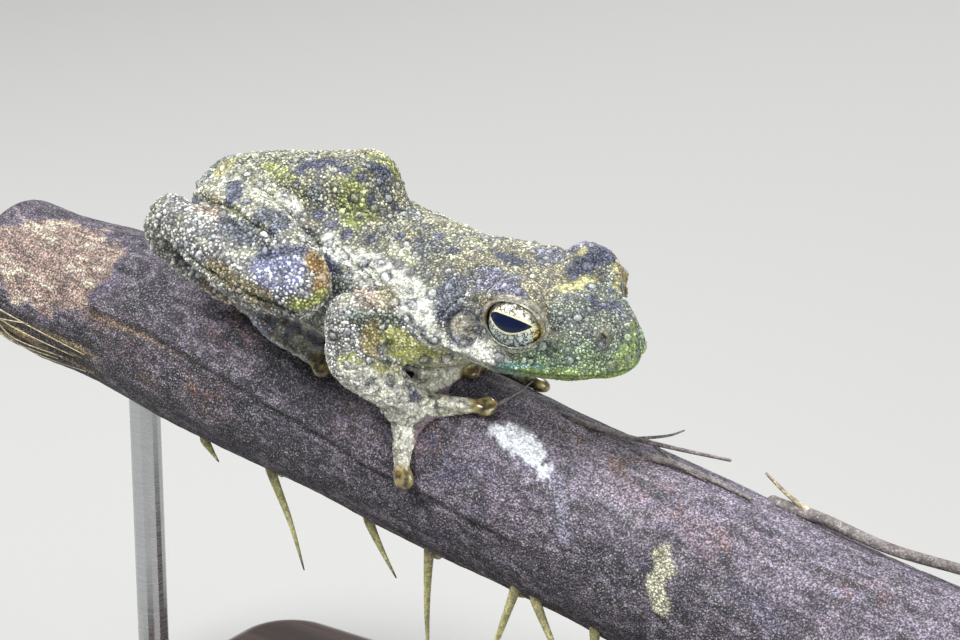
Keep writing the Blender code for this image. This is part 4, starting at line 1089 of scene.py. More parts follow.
def mouth_level(forward):
    """Height of the line of the mouth in the head's frame."""
    share = np.clip((forward - MOUTH_CORNER[0]) / (11.0 - MOUTH_CORNER[0]), 0.0, 1.0)
    return MOUTH_CORNER[1] + (MOUTH_FRONT_LEVEL - MOUTH_CORNER[1]) * share ** 1.4


def head_side(forward, level):
    """How far out the side of the head lies at a place along it and a height."""
    rows = refine(HEAD_SECTIONS, 8)
    half, top, bottom, middle = (np.interp(forward, rows[:, 0], rows[:, k]) for k in (1, 2, 3, 4))
    reach = top - middle if level > middle else middle - bottom
    rise = min(abs(level - middle) / reach, 1.0)
    return half * (1.0 - rise ** HEAD_SQUARE) ** (1.0 / HEAD_SQUARE)


def on_head(forward, level, side=1.0, sunk=0.0):
    return np.array((forward, side * (head_side(forward, level) - sunk), level))


def sided(point, side):
    return np.array((point[0], side * point[1], point[2]))


def unit(vector):
    return np.asarray(vector, float) / np.linalg.norm(vector)


def head_shapes():
    shapes = [body(HEAD_SECTIONS, HEAD, HEAD_SQUARE)]
    places = (MOUTH_CORNER[0], -4, 0, 4, 6.6, 8.4)
    route = [on_head(forward, mouth_level(forward) + 0.65, 1.0, 0.25) for forward in places]
    front = np.array((LIP_FRONT, 0.0, MOUTH_FRONT_LEVEL + 0.65))
    around = route + [front] + [sided(point, -1.0) for point in reversed(route)]
    shapes.append(limb([(point, 0.5, 0.5) for point in around], HEAD, 16))
    for side in (1.0, -1.0):
        shapes.append(ball(sided(LID_PLACE, side), (LID_RADIUS,) * 3, HEAD, sides=48))
        shapes.append(ball(sided(EYE_PLACE, side), (EYE_SHELL,) * 3, HEAD, sides=48))
        shapes.append(limb([(sided(place, side), radius, radius) for place, radius in BROW], HEAD))
        shapes.append(ball(on_head(*NOSTRIL_PLACE, side, 0.3), (0.9, 0.8, 0.8), HEAD))
        fold = [(on_head(*spot, side, 0.2), 0.6, 0.6) for spot in EAR_FOLD]
        shapes.append(limb(fold, HEAD, 16))
    return shapes


def on_side(point, stance, along, drop=0.0):
    """A place given for the left and outwards, where a stance's limb has it."""
    out = np.clip((point[1] - 4.0) / 7.0, 0.0, 1.0)
    return np.array((point[0] + along, stance.side * point[1], point[2] - drop * out))


def posed(stations, stance, along, drop=0.0):
    return [(on_side(point, stance, along, drop), wide, high) for point, wide, high in stations]


def body_shapes():
    shapes = [body(TRUNK_SECTIONS, BRANCH, 2.2), body(HIP_SECTIONS, BRANCH, 2.6)]
    shapes.append(body(HEAD_SECTIONS[:3], HEAD, HEAD_SQUARE))
    for stance in STANCES.values():
        leg = (stance, stance.leg_along, stance.leg_drop)
        arm = (stance, stance.arm_along)
        shapes.append(ball(sided(SHOULDER[0], stance.side), SHOULDER[1], BRANCH))
        for stations in (LEG, SHANK, TARSUS):
            shapes.append(limb(posed(stations, *leg), BRANCH))
        for stations in (UPPER_ARM, FOREARM):
            shapes.append(limb(posed(stations, *arm), BRANCH))
        for place, radius in LEG_JOINTS:
            shapes.append(ball(on_side(place, *leg), (radius,) * 3, BRANCH))
        for place, radius in ARM_JOINTS:
            shapes.append(ball(on_side(place, *arm), (radius,) * 3, BRANCH))
        for stations in (WRIST, ARMPIT):
            shapes.append(limb(posed(stations, *arm), BRANCH))
    return shapes


def extremity_spots(stance):
    """Root, pad, digits, and the shifts along and round the branch of a stance's hand and foot."""
    yield HAND_ROOT, HAND_PAD, FINGERS, stance.arm_along, stance.hand_turn
    yield FOOT_ROOT, FOOT_PAD, TOES, stance.leg_along, stance.foot_turn


def branch_spot(place, stance, along, turn):
    """A hand's or foot's place on the branch, where a stance has it."""
    return (place[0] + along, -stance.side * (place[1] + turn), place[2])


def hand_shapes(stance):
    """The pads, digits, discs and webs of a side's hand and foot."""
    shapes = []
    for root, pad, digits, along, turn in extremity_spots(stance):
        centre = round_branch(*branch_spot(root, stance, along, turn))
        shapes.append(ball(centre, pad, BRANCH, centre * (0.0, 1.0, 1.0)))
        routes = []
        for digit in digits:
            start = tuple(0.6 * a + 0.4 * b for a, b in zip(root, digit.route[0]))
            places = [branch_spot(place, stance, along, turn) for place in (start,) + digit.route]
            routes.append(np.array(places))
            widths = [digit.width * share for share in (1.3, 1.0, 0.78, 0.8)]
            heights = [digit.width * share for share in (1.2, 0.95, 0.72)] + [0.55]
            points = [round_branch(*place) for place in places]
            shapes.append(limb(list(zip(points, widths, heights)), BRANCH, 20, 8, True))
            tip = points[-1]
            out = unit(tip * (0.0, 1.0, 1.0))
            shapes.append(ball(tip, (digit.disc, digit.disc, 0.82), BRANCH, out, 40))
            knuckle = 0.3 * points[-2] + 0.7 * tip + out * 0.12
            shapes.append(ball(knuckle, (0.62, 0.62, 0.5), BRANCH, out, 20))
        for first, second in zip(routes[1:], routes[2:]):
            shapes.append(sheet(first, second, 0.38, BRANCH))
    return shapes


def eye_frame(side):
    """An eye's middle, and its directions out along its gaze, ahead and up."""
    gaze = unit(sided(EYE_GAZE, side))
    ahead = unit(np.array((1.0, 0.0, 0.0)) - gaze * gaze[0])
    up = np.cross(gaze, ahead)
    return sided(EYE_PLACE, side), gaze, ahead, up if up[2] > 0.0 else -up


def past_lid(spots, side):
    """Each point's distance from an eye's middle, and degrees that it lies out from the lids' edge."""
    eye, gaze, ahead, up = eye_frame(side)
    away = spots.head - eye
    reach = np.linalg.norm(away, axis=1)
    turn = np.degrees(np.arccos(np.clip(away @ gaze / np.maximum(reach, 1e-6), -1.0, 1.0)))
    around = np.arctan2(away @ up, away @ ahead)
    length, height = LID_OPENING[side]
    edge = 1.0 / np.hypot(np.cos(around) / length, np.sin(around) / height)
    return reach, turn - np.degrees(np.arcsin(edge / EYE_RADIUS))


def cut_eyes(skin):
    """Open the sockets and the lids."""
    tools = []
    angle = circle(72)[:, None]
    for side in (1.0, -1.0):
        eye, gaze, ahead, up = eye_frame(side)
        tools.append(made_object("socket", [ball(eye, (EYE_RADIUS + SOCKET_GAP,) * 3, HEAD, gaze, 64)]))
        length, height = LID_OPENING[side]
        around = ahead * length * np.cos(angle) + up * height * np.sin(angle)
        rings = np.array([eye + gaze * reach + around * wide for reach, wide in OPENING_FLARE])
        ends = [eye + gaze * OPENING_FLARE[k][0] for k in (0, -1)]
        tools.append(made_object("opening", [stacked(placed(HEAD, rings), *placed(HEAD, ends))]))
    for tool in tools:
        outward(tool)
        step = skin.modifiers.new("cut", "BOOLEAN")
        step.operation = "DIFFERENCE"
        step.object = tool
        step.solver = "EXACT"
        settle(skin)
    discard(*tools)


def raw_skin():
    """The whole body in one closed surface, still plain."""
    head = melted("head_form", head_shapes(), HEAD_CELL, 4)
    trunk = melted("body_form", body_shapes(), BODY_CELL, 9)
    small = [shape for stance in STANCES.values() for shape in hand_shapes(stance)]
    hands = melted("hand_form", small, HAND_CELL, 3)
    skin = joined("frog_skin", [head, trunk, hands])
    remeshed(skin, WHOLE_CELL, 3)
    cut_eyes(skin)
    remeshed(skin, bpy.context.scene.tree_frog_skin.cell / MM * (1.0), 1)
    return skin


class Places:
    """The skin's points in every frame that marks and folds are given in."""

    def __init__(self, points):
        self.points = points
        self.branch = seen_from(BRANCH, points)
        self.head = seen_from(HEAD, points)
        self.face = self.head * np.where(self.head[:, 1:2] < 0.0, (1.0, -1.0, 1.0), 1.0)
        self.side = self.branch * np.where(self.branch[:, 1:2] < 0.0, (1.0, -1.0, 1.0), 1.0)
        self.right = self.branch[:, 1] < 0.0

    def limb(self, part):
        """The branch frame with the left limb moved back to where the right one is."""
        stance = STANCES["left"]
        out = np.clip((self.side[:, 1] - 4.0) / 7.0, 0.0, 1.0)
        along = stance.leg_along if part == "leg" else stance.arm_along
        drop = stance.leg_drop if part == "leg" else 0.0
        moved = self.side.copy()
        left = ~self.right
        moved[left, 0] -= along
        moved[left, 2] += drop * out[left]
        return moved

    def of(self, where):
        """The points in the frame that a mark's place is given in."""
        if where in ("leg", "arm"):
            return self.limb(where)
        return {"head": self.head, "face": self.face, "back": self.branch, "side": self.side}[where]


def profile(value, places, widths_heights):
    """Sum of rounded ridges across a value, each at its place with its width and height."""
    total = np.zeros(len(value))
    for place, (width, height) in zip(places, widths_heights):
        total += height * bell(value - place, width)
    return total


def sculpt_eyes(spots, points):
    """Draw the lids as two fine rolls round each eyeball."""
    for side in (1.0, -1.0):
        reach, past = past_lid(spots, side)
        way = (spots.head - sided(EYE_PLACE, side)) / np.maximum(reach, 1e-6)[:, None]
        outer = (reach > EYE_RADIUS + 0.3) | (past < 2.5)
        zone = eased(30.0, 9.5, past) * eased(-8.0, -1.0, past) * (reach < EYE_SHELL + 2.2) * outer
        wanted = EYE_RADIUS + 0.1 + profile(past, (2.2, 7.4), ((1.9, 0.16), (1.9, 0.2)))
        wanted += 0.024 * np.maximum(past, 0.0)
        points = points + way @ HEAD[:3, :3].T * (zone * (wanted - reach))[:, None]
    return points


def ear_distance(spots):
    """Distance from the middle of the nearer eardrum, and depth in from its face."""
    face = spots.face
    middle = on_head(*EARDRUM_PLACE)
    axis = unit((0.0, 1.0, EAR_TILT))
    away = face - middle
    depth = away @ axis
    flat = np.linalg.norm(away - depth[:, None] * axis, axis=1)
    return flat, depth


def crease_distance(spots, where, route):
    """Distance from a fold's line, which wanders a little."""
    place = spots.of(where)
    wander = np.stack([lumps(place, 1.3, k) for k in (5, 6, 7)], axis=1)
    return distance_to(place + 0.22 * wander, route)


def throat_lines(face, gape, height):
    """The folds below the ear, each a rounded ridge under the level of the mouth."""
    drop = gape + 0.09 * (face[:, 0] + 5.0) * (face[:, 0] < -5.0)
    return profile(drop, THROAT_FOLDS, ((0.13, height),) * len(THROAT_FOLDS))


def wrinkles(spots, digits):
    """1 along fine wandering wrinkles, which lie over hand, wrist and the arm's inner side."""
    place = spots.side
    fine = eased(0.11, 0.02, np.abs(lumps(spots.points, (1.3, 1.3, 0.8), 55)))
    wrist = near(place, ((0.5, 12.6, 12.5), (4.0, 10.0, 10.5)), 3.2)
    return fine * np.clip(0.9 * digits + wrist, 0.0, 1.0)


def sculpt(skin):
    """Raise and sink the skin's features along its normals."""
    mesh = skin.data
    points = read(mesh, "vertices", "co", 3)
    points = sculpt_eyes(Places(points), points)
    write_points(mesh, points)
    spots = Places(points)
    face = spots.face
    lift = np.zeros(len(points))
    on_face = eased(-12.5, -10.0, face[:, 0]) * (face[:, 2] > -9.0) * eased(10.8, 10.0, face[:, 1])
    raised = (
        (((2.4, 5.9, 2.6), (4.6, 5.2, 1.6), (7.4, 3.6, 0.6)), 0.8, 0.22),
        (((3.8, 6.9, -0.8), (6.6, 5.2, -1.2)), 1.3, -0.3),
        (((-1.0, 0.0, 2.6), (3.0, 0.0, 2.4)), 2.0, -0.32),
        (((-9.0, 4.0, 2.0), (-6.0, 3.4, 2.4)), 1.2, 0.14),
        (((-3.6, 8.6, -1.0), (-3.4, 9.0, -3.2)), 0.4, -0.22),
        (((-1.6, 9.0, -3.4), (2.0, 8.0, -3.2), (5.0, 6.6, -3.0)), 0.5, 0.12),
    )
    for route, reach, height in raised:
        lift += height * near(face, route, reach) * on_face
    nostril = on_head(*NOSTRIL_PLACE) + NOSTRIL_SHIFT
    lift += 0.3 * near(face, [nostril], 0.8) * on_face
    lift -= 0.95 * near(face, [nostril + NOSTRIL_PIT], 0.34) * on_face
    fold = [on_head(*spot) for spot in EAR_FOLD]
    lift += 0.2 * near(face, fold, 0.55) * on_face
    below = [point + (0.5, 0.0, -0.75) for point in fold]
    lift -= 0.18 * near(face, below, 0.3) * on_face
    flat, depth = ear_distance(spots)
    shallow = (np.abs(depth) < 1.6) * on_face
    rims = (EARDRUM_RADIUS + 0.5, EARDRUM_RADIUS + 0.08)
    lift += shallow * profile(flat, rims, ((0.3, 0.3), (0.17, -0.42)))
    lift -= shallow * 0.12 * eased(EARDRUM_RADIUS + 0.1, EARDRUM_RADIUS - 0.3, flat)
    gape = face[:, 2] - mouth_level(face[:, 0])
    along_mouth = on_face * eased(MOUTH_CORNER[0] - 0.8, MOUTH_CORNER[0] + 0.4, face[:, 0])
    outer = eased(2.0, 4.0, np.hypot(face[:, 1], np.maximum(face[:, 0] - 4.0, 0.0)))
    lift += along_mouth * outer * profile(gape, (0.0, 0.42, -0.4), ((0.13, -0.42), (0.26, 0.1), (0.28, 0.06)))
    cheek = on_face * eased(-11.0, -8.5, face[:, 0]) * eased(2.0, -3.0, face[:, 0])
    lift -= cheek * eased(5.0, 7.0, face[:, 1]) * throat_lines(face, gape, 0.2)
    for where, width, depth, route in CREASES:
        groove = crease_distance(spots, where, route)
        lift += 0.3 * depth * bell(groove - 2.6 * width, 1.4 * width)
        lift -= depth * bell(groove, width)
    lift += 0.16 * near(spots.side, ((-25.0, 3.6, 24.0), (-14.0, 3.4, 27.6), (-10.0, 2.8, 28.6)), 0.9)
    lift -= 0.7 * near(spots.branch, ((-31.8, 0.0, 17.6),), 0.5)
    lift += 0.14 * lumps(points, 2.6, 3) + 0.07 * lumps(points, 1.1, 4)
    smooth = smooth_parts(spots)
    rough = 1.0 - 0.85 * smooth
    lift += rough * 0.05 * lumps(points, 0.55, 9)
    digits = digit_share(spots) * rough
    lift += digits * (0.07 * lumps(points, 0.5, 10) + 0.07 * lumps(points, 1.0, 11))
    lift -= 0.13 * rough * wrinkles(spots, digits)
    lift -= 0.06
    points = points + normals_of(mesh) * (lift * (1.0 - 0.7 * smooth))[:, None]
    write_points(mesh, points)


def digit_routes():
    """Each finger and toe, with its route from the root of its hand or foot to its disc."""
    for stance in STANCES.values():
        for root, _, digits, along, turn in extremity_spots(stance):
            for digit in digits:
                spots = [branch_spot(place, stance, along, turn) for place in (root, *digit.route)]
                yield digit, [round_branch(*spot) for spot in spots]


def disc_distance(spots):
    """Distance from the middle of the nearest toe or finger disc, in its own radii."""
    least = np.full(len(spots.points), FAR)
    for digit, route in digit_routes():
        least = np.minimum(least, np.linalg.norm(spots.branch - route[-1], axis=1) / digit.disc)
    return least


def branch_height(spots):
    """How high the skin's points lie over the plain branch."""
    centre, radius = branch_ring(spots.branch[:, 0])
    return np.hypot(spots.branch[:, 1], spots.branch[:, 2] - centre) - radius


def digit_share(spots):
    """1 on hands and feet, fading into wrist and ankle."""
    total = np.zeros(len(spots.points))
    for _, route in digit_routes():
        total = np.maximum(total, eased(2.6, 1.2, distance_to(spots.branch, route)))
    return total * eased(3.4, 2.2, branch_height(spots))


def smooth_parts(spots):
    """1 where the skin has no grains: discs, webs, eyelids' edges, eardrums, belly and throat."""
    discs = eased(1.35, 1.1, disc_distance(spots))
    flat, depth = ear_distance(spots)
    drums = eased(EARDRUM_RADIUS + 0.5, EARDRUM_RADIUS + 0.25, flat) * (np.abs(depth) < 1.6)
    low = eased(11.5, 10.2, spots.branch[:, 2]) * eased(7.5, 5.5, spots.side[:, 1])
    lids = np.zeros(len(spots.points))
    for side in (1.0, -1.0):
        reach, past = past_lid(spots, side)
        lids = np.maximum(lids, eased(13.5, 11.5, past) * (reach < EYE_SHELL + 0.9))
        lids = np.maximum(lids, eased(EYE_RADIUS + 0.35, EYE_RADIUS + 0.25, reach))
    face = spots.face
    nostril = on_head(*NOSTRIL_PLACE) + NOSTRIL_SHIFT
    nose = eased(1.0, 0.75, distance_to(face, [nostril]))
    gape = face[:, 2] - mouth_level(face[:, 0])
    on_jaw = (face[:, 0] > MOUTH_CORNER[0] - 1.0) * (face[:, 1] < 9.8) * (face[:, 2] > -9.0)
    lips = on_jaw * eased(-0.75, -0.6, gape) * eased(0.45, 0.3, gape)
    return np.clip(np.maximum.reduce([discs, drums, 0.9 * low, lids, nose, lips]), 0.0, 1.0)


def web_share(spots):
    """1 on the thin skin between the digits."""
    least = np.full(len(spots.points), FAR)
    for digit, route in digit_routes():
        least = np.minimum(least, distance_to(spots.branch, route) - digit.width)
    return eased(1.15, 0.9, branch_height(spots)) * eased(0.05, 0.35, least) * eased(6.0, 4.0, least)


def limb_share(spots, part):
    """1 on the legs or arms, fading into the trunk."""
    place = spots.limb(part)
    total = np.zeros(len(place))
    for stations in (LEG, SHANK, TARSUS) if part == "leg" else (UPPER_ARM, FOREARM):
        for *middle, wide, high in refine([(*point, wide, high) for point, wide, high in stations], 4):
            gap = np.linalg.norm(place - middle, axis=1) - 0.5 * (wide + high)
            total = np.maximum(total, eased(1.3, 0.3, gap))
    return total


def paint(skin, warts):
    """Lay the markings on the skin: a tint for what lies between the grains, and one for the grains."""
    mesh = skin.data
    points = read(mesh, "vertices", "co", 3)
    spots = Places(points)
    count = len(points)
    tints = [np.tile(colour, (count, 1)) for colour in FINISHES["back"]]

    def lay(finish, weight):
        """Lay a finish over both tints by its weight."""
        for tint, wanted in zip(tints, FINISHES[finish]):
            tint += (np.array(wanted) - tint) * weight[:, None]

    def blots(low, high, size, seed):
        return eased(low, high, mottle(points, size, seed))

    def specks(low, high, size, seed):
        return eased(low, high, lumps(points, size, seed))

    ragged = 0.55 * lumps(points, 1.2, 21) + 0.35 * lumps(points, 0.5, 22)
    leg, arm = limb_share(spots, "leg"), limb_share(spots, "arm")
    limbs = np.maximum(leg, arm)
    on_face = eased(-12.0, -8.0, spots.head[:, 0]) * (spots.head[:, 2] > -9.5) * (1.0 - arm)
    digits = digit_share(spots)
    forward, rise = spots.branch[:, 0], spots.branch[:, 2]

    # The ground colours of trunk, head, limbs, belly, hands and feet.
    side_low = eased(22.6, 20.6, rise + 0.6 * ragged)
    lay("flank", side_low * (1.0 - on_face))
    lay("beige", 0.55 * blots(-0.1, 0.4, 2.6, 33) * (1.0 - side_low))
    lay("slate", 0.7 * blots(0.12, 0.4, 1.9, 31) * (1.0 - limbs))
    lay("beige", 0.6 * on_face * blots(0.2, -0.3, 2.4, 37) * (1.0 - side_low))
    lay("lilac", 0.35 * on_face * blots(0.0, 0.45, 2.4, 37))
    ahead = on_face * eased(0.2, 3.4, spots.face[:, 0] + 0.7 * ragged)
    level = spots.face[:, 2] + 0.9 * ragged
    lay("flank", 0.85 * ahead)
    lay("moss", 0.24 * ahead)
    lay("green", ahead * eased(0.6, -3.2, level))
    lay("snout", 0.7 * ahead * eased(-2.6, -4.4, level))
    lay("green", 0.55 * on_face * eased(-2.2, -4.4, level) * (1.0 - ahead))
    lay("limb", limbs * (1.0 - 0.8 * on_face))
    lay("thigh", 0.6 * limbs * blots(0.05, 0.45, 2.4, 35))
    lay("belly", eased(12.2, 10.4, rise + 0.5 * ragged) * eased(8.5, 6.0, spots.side[:, 1]) * (1.0 - digits))
    lay("digit", digits)
    lay("white", 0.6 * digits * blots(0.0, -0.3, 0.8, 47))
    lay("slate", 0.7 * digits * blots(0.36, 0.5, 0.8, 47))
    lay("straw", 0.35 * digits * blots(0.1, 0.4, 1.1, 48))
    foot = digits * (forward < -1.0)
    lay("lilac", 0.35 * foot)
    lay("frost", 0.6 * foot * blots(-0.2, 0.1, 1.1, 49))
    lay("tan", 0.7 * foot * blots(0.2, 0.4, 1.5, 50))
    webs = web_share(spots)
    lay("web", webs)

    allowed = {"leg": leg, "arm": np.maximum(arm, digits), "head": on_face, "face": on_face}
    for where, marks in MARKS.items():
        place = spots.of(where)
        for finish, reach, route in marks:
            gap = distance_to(place, route) + 0.55 * min(reach, 1.6) * ragged
            weight = eased(reach * 1.12 + 0.1, reach * 0.72, gap) * 0.94
            lay(finish, weight * eased(0.2, 0.6, allowed[where]) if where in allowed else weight)

    # Discs, eardrums, nostrils, lids and mouth.
    discs = disc_distance(spots)
    lay("disc", eased(1.4, 1.05, discs))
    lay("umber", 0.9 * eased(1.2, 0.8, discs) * specks(-0.1, 0.12, 0.8, 41))
    lay("ochre", 0.5 * eased(1.1, 0.6, discs) * specks(0.0, 0.2, 0.6, 46))
    lay("line", 0.8 * eased(1.2, 0.7, discs) * specks(0.12, 0.26, 0.5, 42))
    flat, depth = ear_distance(spots)
    drum = eased(EARDRUM_RADIUS + 0.1, EARDRUM_RADIUS - 0.15, flat) * (np.abs(depth) < 1.6) * on_face
    lay("drum", drum)
    low_drum = drum * eased(-2.2, -2.9, spots.face[:, 2] + 0.3 * ragged)
    lay("frost", 0.7 * low_drum)
    lay("white", 0.85 * low_drum * specks(0.08, -0.12, 0.4, 44))
    lay("line", 0.9 * drum * specks(-0.02, 0.2, 0.42, 43))
    # Painted shade: a dark ring in the groove round the eardrum.
    lay("dark", 0.9 * (bell(flat - EARDRUM_RADIUS - 0.12, 0.3) * (np.abs(depth) < 1.8) * on_face))
    pit = distance_to(spots.face, [on_head(*NOSTRIL_PLACE) + NOSTRIL_SHIFT + NOSTRIL_PIT])
    lay("beige", 0.6 * eased(0.95, 0.6, pit))
    # Painted shade: near black in the nostril's pit.
    lay("line", eased(0.5, 0.32, pit))
    paint_lids(spots, lay)
    paint_mouth(spots, lay, on_face)

    # Wrinkles and folds darkened as painted shade in their grooves, blotches, and the dark rings round warts.
    folded = wrinkles(spots, digits)
    # Painted shade: dark green along the wrinkles' grooves.
    lay("moss", 0.8 * folded * (forward > -2.0))
    blotchy = 1.0 + 0.3 * lumps(points, 0.75, 53) + 0.16 * lumps(points, 0.42, 54)
    for tint in tints:
        tint *= np.clip(blotchy, 0.5, 1.35)[:, None]
    creases, rings, tips, lid = np.zeros((4, count))
    for where, width, _, route in CREASES:
        creases = np.maximum(creases, bell(crease_distance(spots, where, route), width))
    # Painted shade: dark olive along the folds' grooves.
    lay("groove_shade", 0.8 * creases)
    tree = search_tree(points)
    for place, size, ringed in warts:
        for _, index, gap in tree.find_range(place, 2.6 * size):
            rings[index] = max(rings[index], ringed * float(eased(2.5, 1.5, gap / size)))
            tips[index] = max(tips[index], float(eased(1.2, 0.8, gap / size)))
    lay("dark", 0.8 * rings * (1.0 - tips))

    # How wet the skin is, how dense and large its grains are, and whose piece they belong to.
    pale = np.clip((tints[0].mean(axis=1) - 0.22) / 0.3, 0.0, 1.0)
    coat = 1.0 - smooth_parts(spots)
    for share, bare in ((digits, 0.25), (tips, 1.0), (creases, 0.8), (pale, 0.3), (folded, 0.7), (webs, 1.0)):
        coat *= 1.0 - bare * share
    under = eased(-0.9, -0.5, normals_of(mesh) @ BRANCH[:3, 2])
    for side in (1.0, -1.0):
        reach, past = past_lid(spots, side)
        lid = np.maximum(lid, np.clip(1.0 - past / LID_ZONE, 0.0, 1.0) * (reach < EYE_SHELL + 1.2))
    layers = {
        "tint": np.clip(tints[0], 0.0, 1.0),
        "grain_tint": np.clip(tints[1], 0.0, 1.0),
        "wet": np.clip(np.maximum(eased(1.3, 1.1, discs), 0.12 * digits), 0.0, 1.0),
        "coat": np.clip(coat * (0.35 + 0.65 * under), 0.0, 1.0),
        "size": (1.0 - 0.05 * on_face - 0.2 * digits) * (1.0 + 0.18 * lumps(points, 1.7, 51)),
        "part": part_numbers(spots, on_face, leg, arm, digits),
        "lid": lid,
    }
    for name, values in layers.items():
        keep(mesh, name, values)


# The coat's pieces, and how far apart and how large the grains of each are.
PARTS = {
    "head": 0.7, "trunk": 0.86, "hips": 0.92, "arm_right": 0.82, "arm_left": 0.82, "leg_right": 1.0,
    "leg_left": 1.0}


def part_numbers(spots, on_face, leg, arm, digits):
    """Which of the coat's pieces each point belongs to."""
    number = np.ones(len(on_face))
    forward = spots.branch[:, 0] > -8.0
    number[~forward] = 2.0
    number[on_face > 0.5] = 0.0
    fore = ((arm > 0.5) & (on_face <= 0.5)) | ((digits > 0.3) & forward)
    hind = (leg > 0.5) | ((digits > 0.3) & ~forward)
    for first, zone in ((3.0, fore), (5.0, hind)):
        number[zone & spots.right] = first
        number[zone & ~spots.right] = first + 1.0
    return number


def paint_lids(spots, lay):
    """Brown and green rings on the lids, dark where they meet the eyeball."""
    points = spots.points
    for side in (1.0, -1.0):
        reach, past = past_lid(spots, side)
        away = spots.head - sided(EYE_PLACE, side)
        lower = eased(0.6, -1.2, away[:, 2])
        rolls = (reach < EYE_SHELL + 0.8) * (reach > EYE_RADIUS + 0.05) * eased(13.0, 10.0, past)
        lay("tan", 0.8 * rolls * (1.0 - lower))
        lay("white", 0.45 * rolls * (1.0 - lower))
        lay("white", 0.8 * rolls * lower)
        lay("green", 0.4 * rolls * lower)
        lay("beige", 0.5 * rolls * eased(0.0, 0.5, lumps(points, 0.7, 57)))
        behind = eased(-0.5, -2.4, away[:, 0])
        lay("tan", 0.7 * rolls * behind)
        lay("umber", 0.6 * rolls * behind * eased(-0.1, 0.3, lumps(points, 0.9, 59)))
        corner = np.linalg.norm(away - sided((3.1, 1.4, 0.3), side), axis=1)
        wrinkled = 0.6 + 0.4 * np.sin(4.5 * away[:, 0] + 2.5 * lumps(points, 0.8, 58))
        lay("straw", 0.85 * eased(1.9, 1.2, corner) * (reach < EYE_SHELL + 1.4) * wrinkled)
        spot = np.linalg.norm(away - sided((3.5, 0.9, -0.3), side), axis=1)
        lay("line", 0.8 * eased(0.6, 0.3, spot))


def paint_mouth(spots, lay, on_face):
    """The mouth's line darkened as painted shade in its groove, the bright rim over it, and the pale folds
    below the ear with green painted shade along their grooves.
    """
    face = spots.face
    gape = face[:, 2] - mouth_level(face[:, 0])
    along = on_face * eased(MOUTH_CORNER[0] - 0.8, MOUTH_CORNER[0] + 0.6, face[:, 0])
    front = eased(-1.0, 3.5, face[:, 0])
    lay("snout", 0.8 * along * front * eased(-1.6, -0.9, gape) * eased(0.75, 0.3, gape))
    lay("belly", 0.7 * on_face * eased(-0.9, -2.2, gape))
    # Painted shade along the mouth's groove.
    lay("groove_shade", 0.75 * along * bell(gape, 0.14))
    cheek = on_face * eased(-10.6, -8.5, face[:, 0]) * eased(1.0, -3.0, face[:, 0])
    cheek = cheek * eased(5.0, 7.0, face[:, 1])
    lay("white", 0.7 * (cheek * eased(-3.0, -2.2, gape) * eased(0.6, -0.2, gape)))
    # Painted shade: green along the throat folds' grooves.
    lay("green", 0.75 * cheek * np.clip(throat_lines(face, gape, 1.0), 0.0, 1.0))


def wart_places(skin):
    """Seeded places for warts on the back, crown, lids and limbs: where, radius and how dark a ring."""
    mesh = skin.data
    points = read(mesh, "vertices", "co", 3)
    normals = normals_of(mesh)
    spots = Places(points)
    up = normals @ BRANCH[:3, 2]
    smooth = smooth_parts(spots)
    digits = digit_share(spots)
    limbs = np.maximum(limb_share(spots, "leg"), limb_share(spots, "arm"))
    on_face = eased(-12.0, -8.0, spots.head[:, 0])
    snout = on_face * np.maximum(eased(0.0, -2.0, spots.head[:, 2]), 0.85 * eased(2.4, 4.4, spots.head[:, 0]))
    level = eased(-0.1, 0.5, up)
    rng = np.random.default_rng(bpy.context.scene.tree_frog_skin.seed)
    order = rng.permutation(len(points))
    gap_large = bpy.context.scene.tree_frog_skin.wart_gap / MM
    warts = []
    for gap, low, high, ringed, amount in (
            (gap_large, 0.24, 0.4, 1.0, (1.0 - 0.8 * limbs) * (1.0 - 0.8 * snout)),
            (0.9, 0.13, 0.2, 0.3, (1.0 - 0.5 * limbs) * (1.0 - 0.85 * snout))):
        chance = amount * level * (smooth < 0.05) * (digits < 0.05)
        taken = {}
        for index in order[rng.random(len(points)) < chance[order] * 0.6]:
            place = points[index]
            cell = tuple(np.floor(place / gap).astype(int))
            crowd = itertools.product(*((c - 1, c, c + 1) for c in cell))
            if any(np.linalg.norm(other - place) < gap for key in crowd for other in taken.get(key, ())):
                continue
            taken.setdefault(cell, []).append(place)
            warts.append((place, rng.uniform(low, high), ringed, normals[index]))
    return warts


# Coat pieces

def stud_mesh(rows, sides):
    """A small turned stud with its axis up: (radius, height) rows from its tip down."""
    rings = [level_ring(radius, height, sides) for radius, height in reversed(rows[1:-1])]
    item = made_object("stud", [stacked(np.array(rings), (0.0, 0.0, rows[-1][1]), (0.0, 0.0, rows[0][1]))])
    outward(item)
    return item


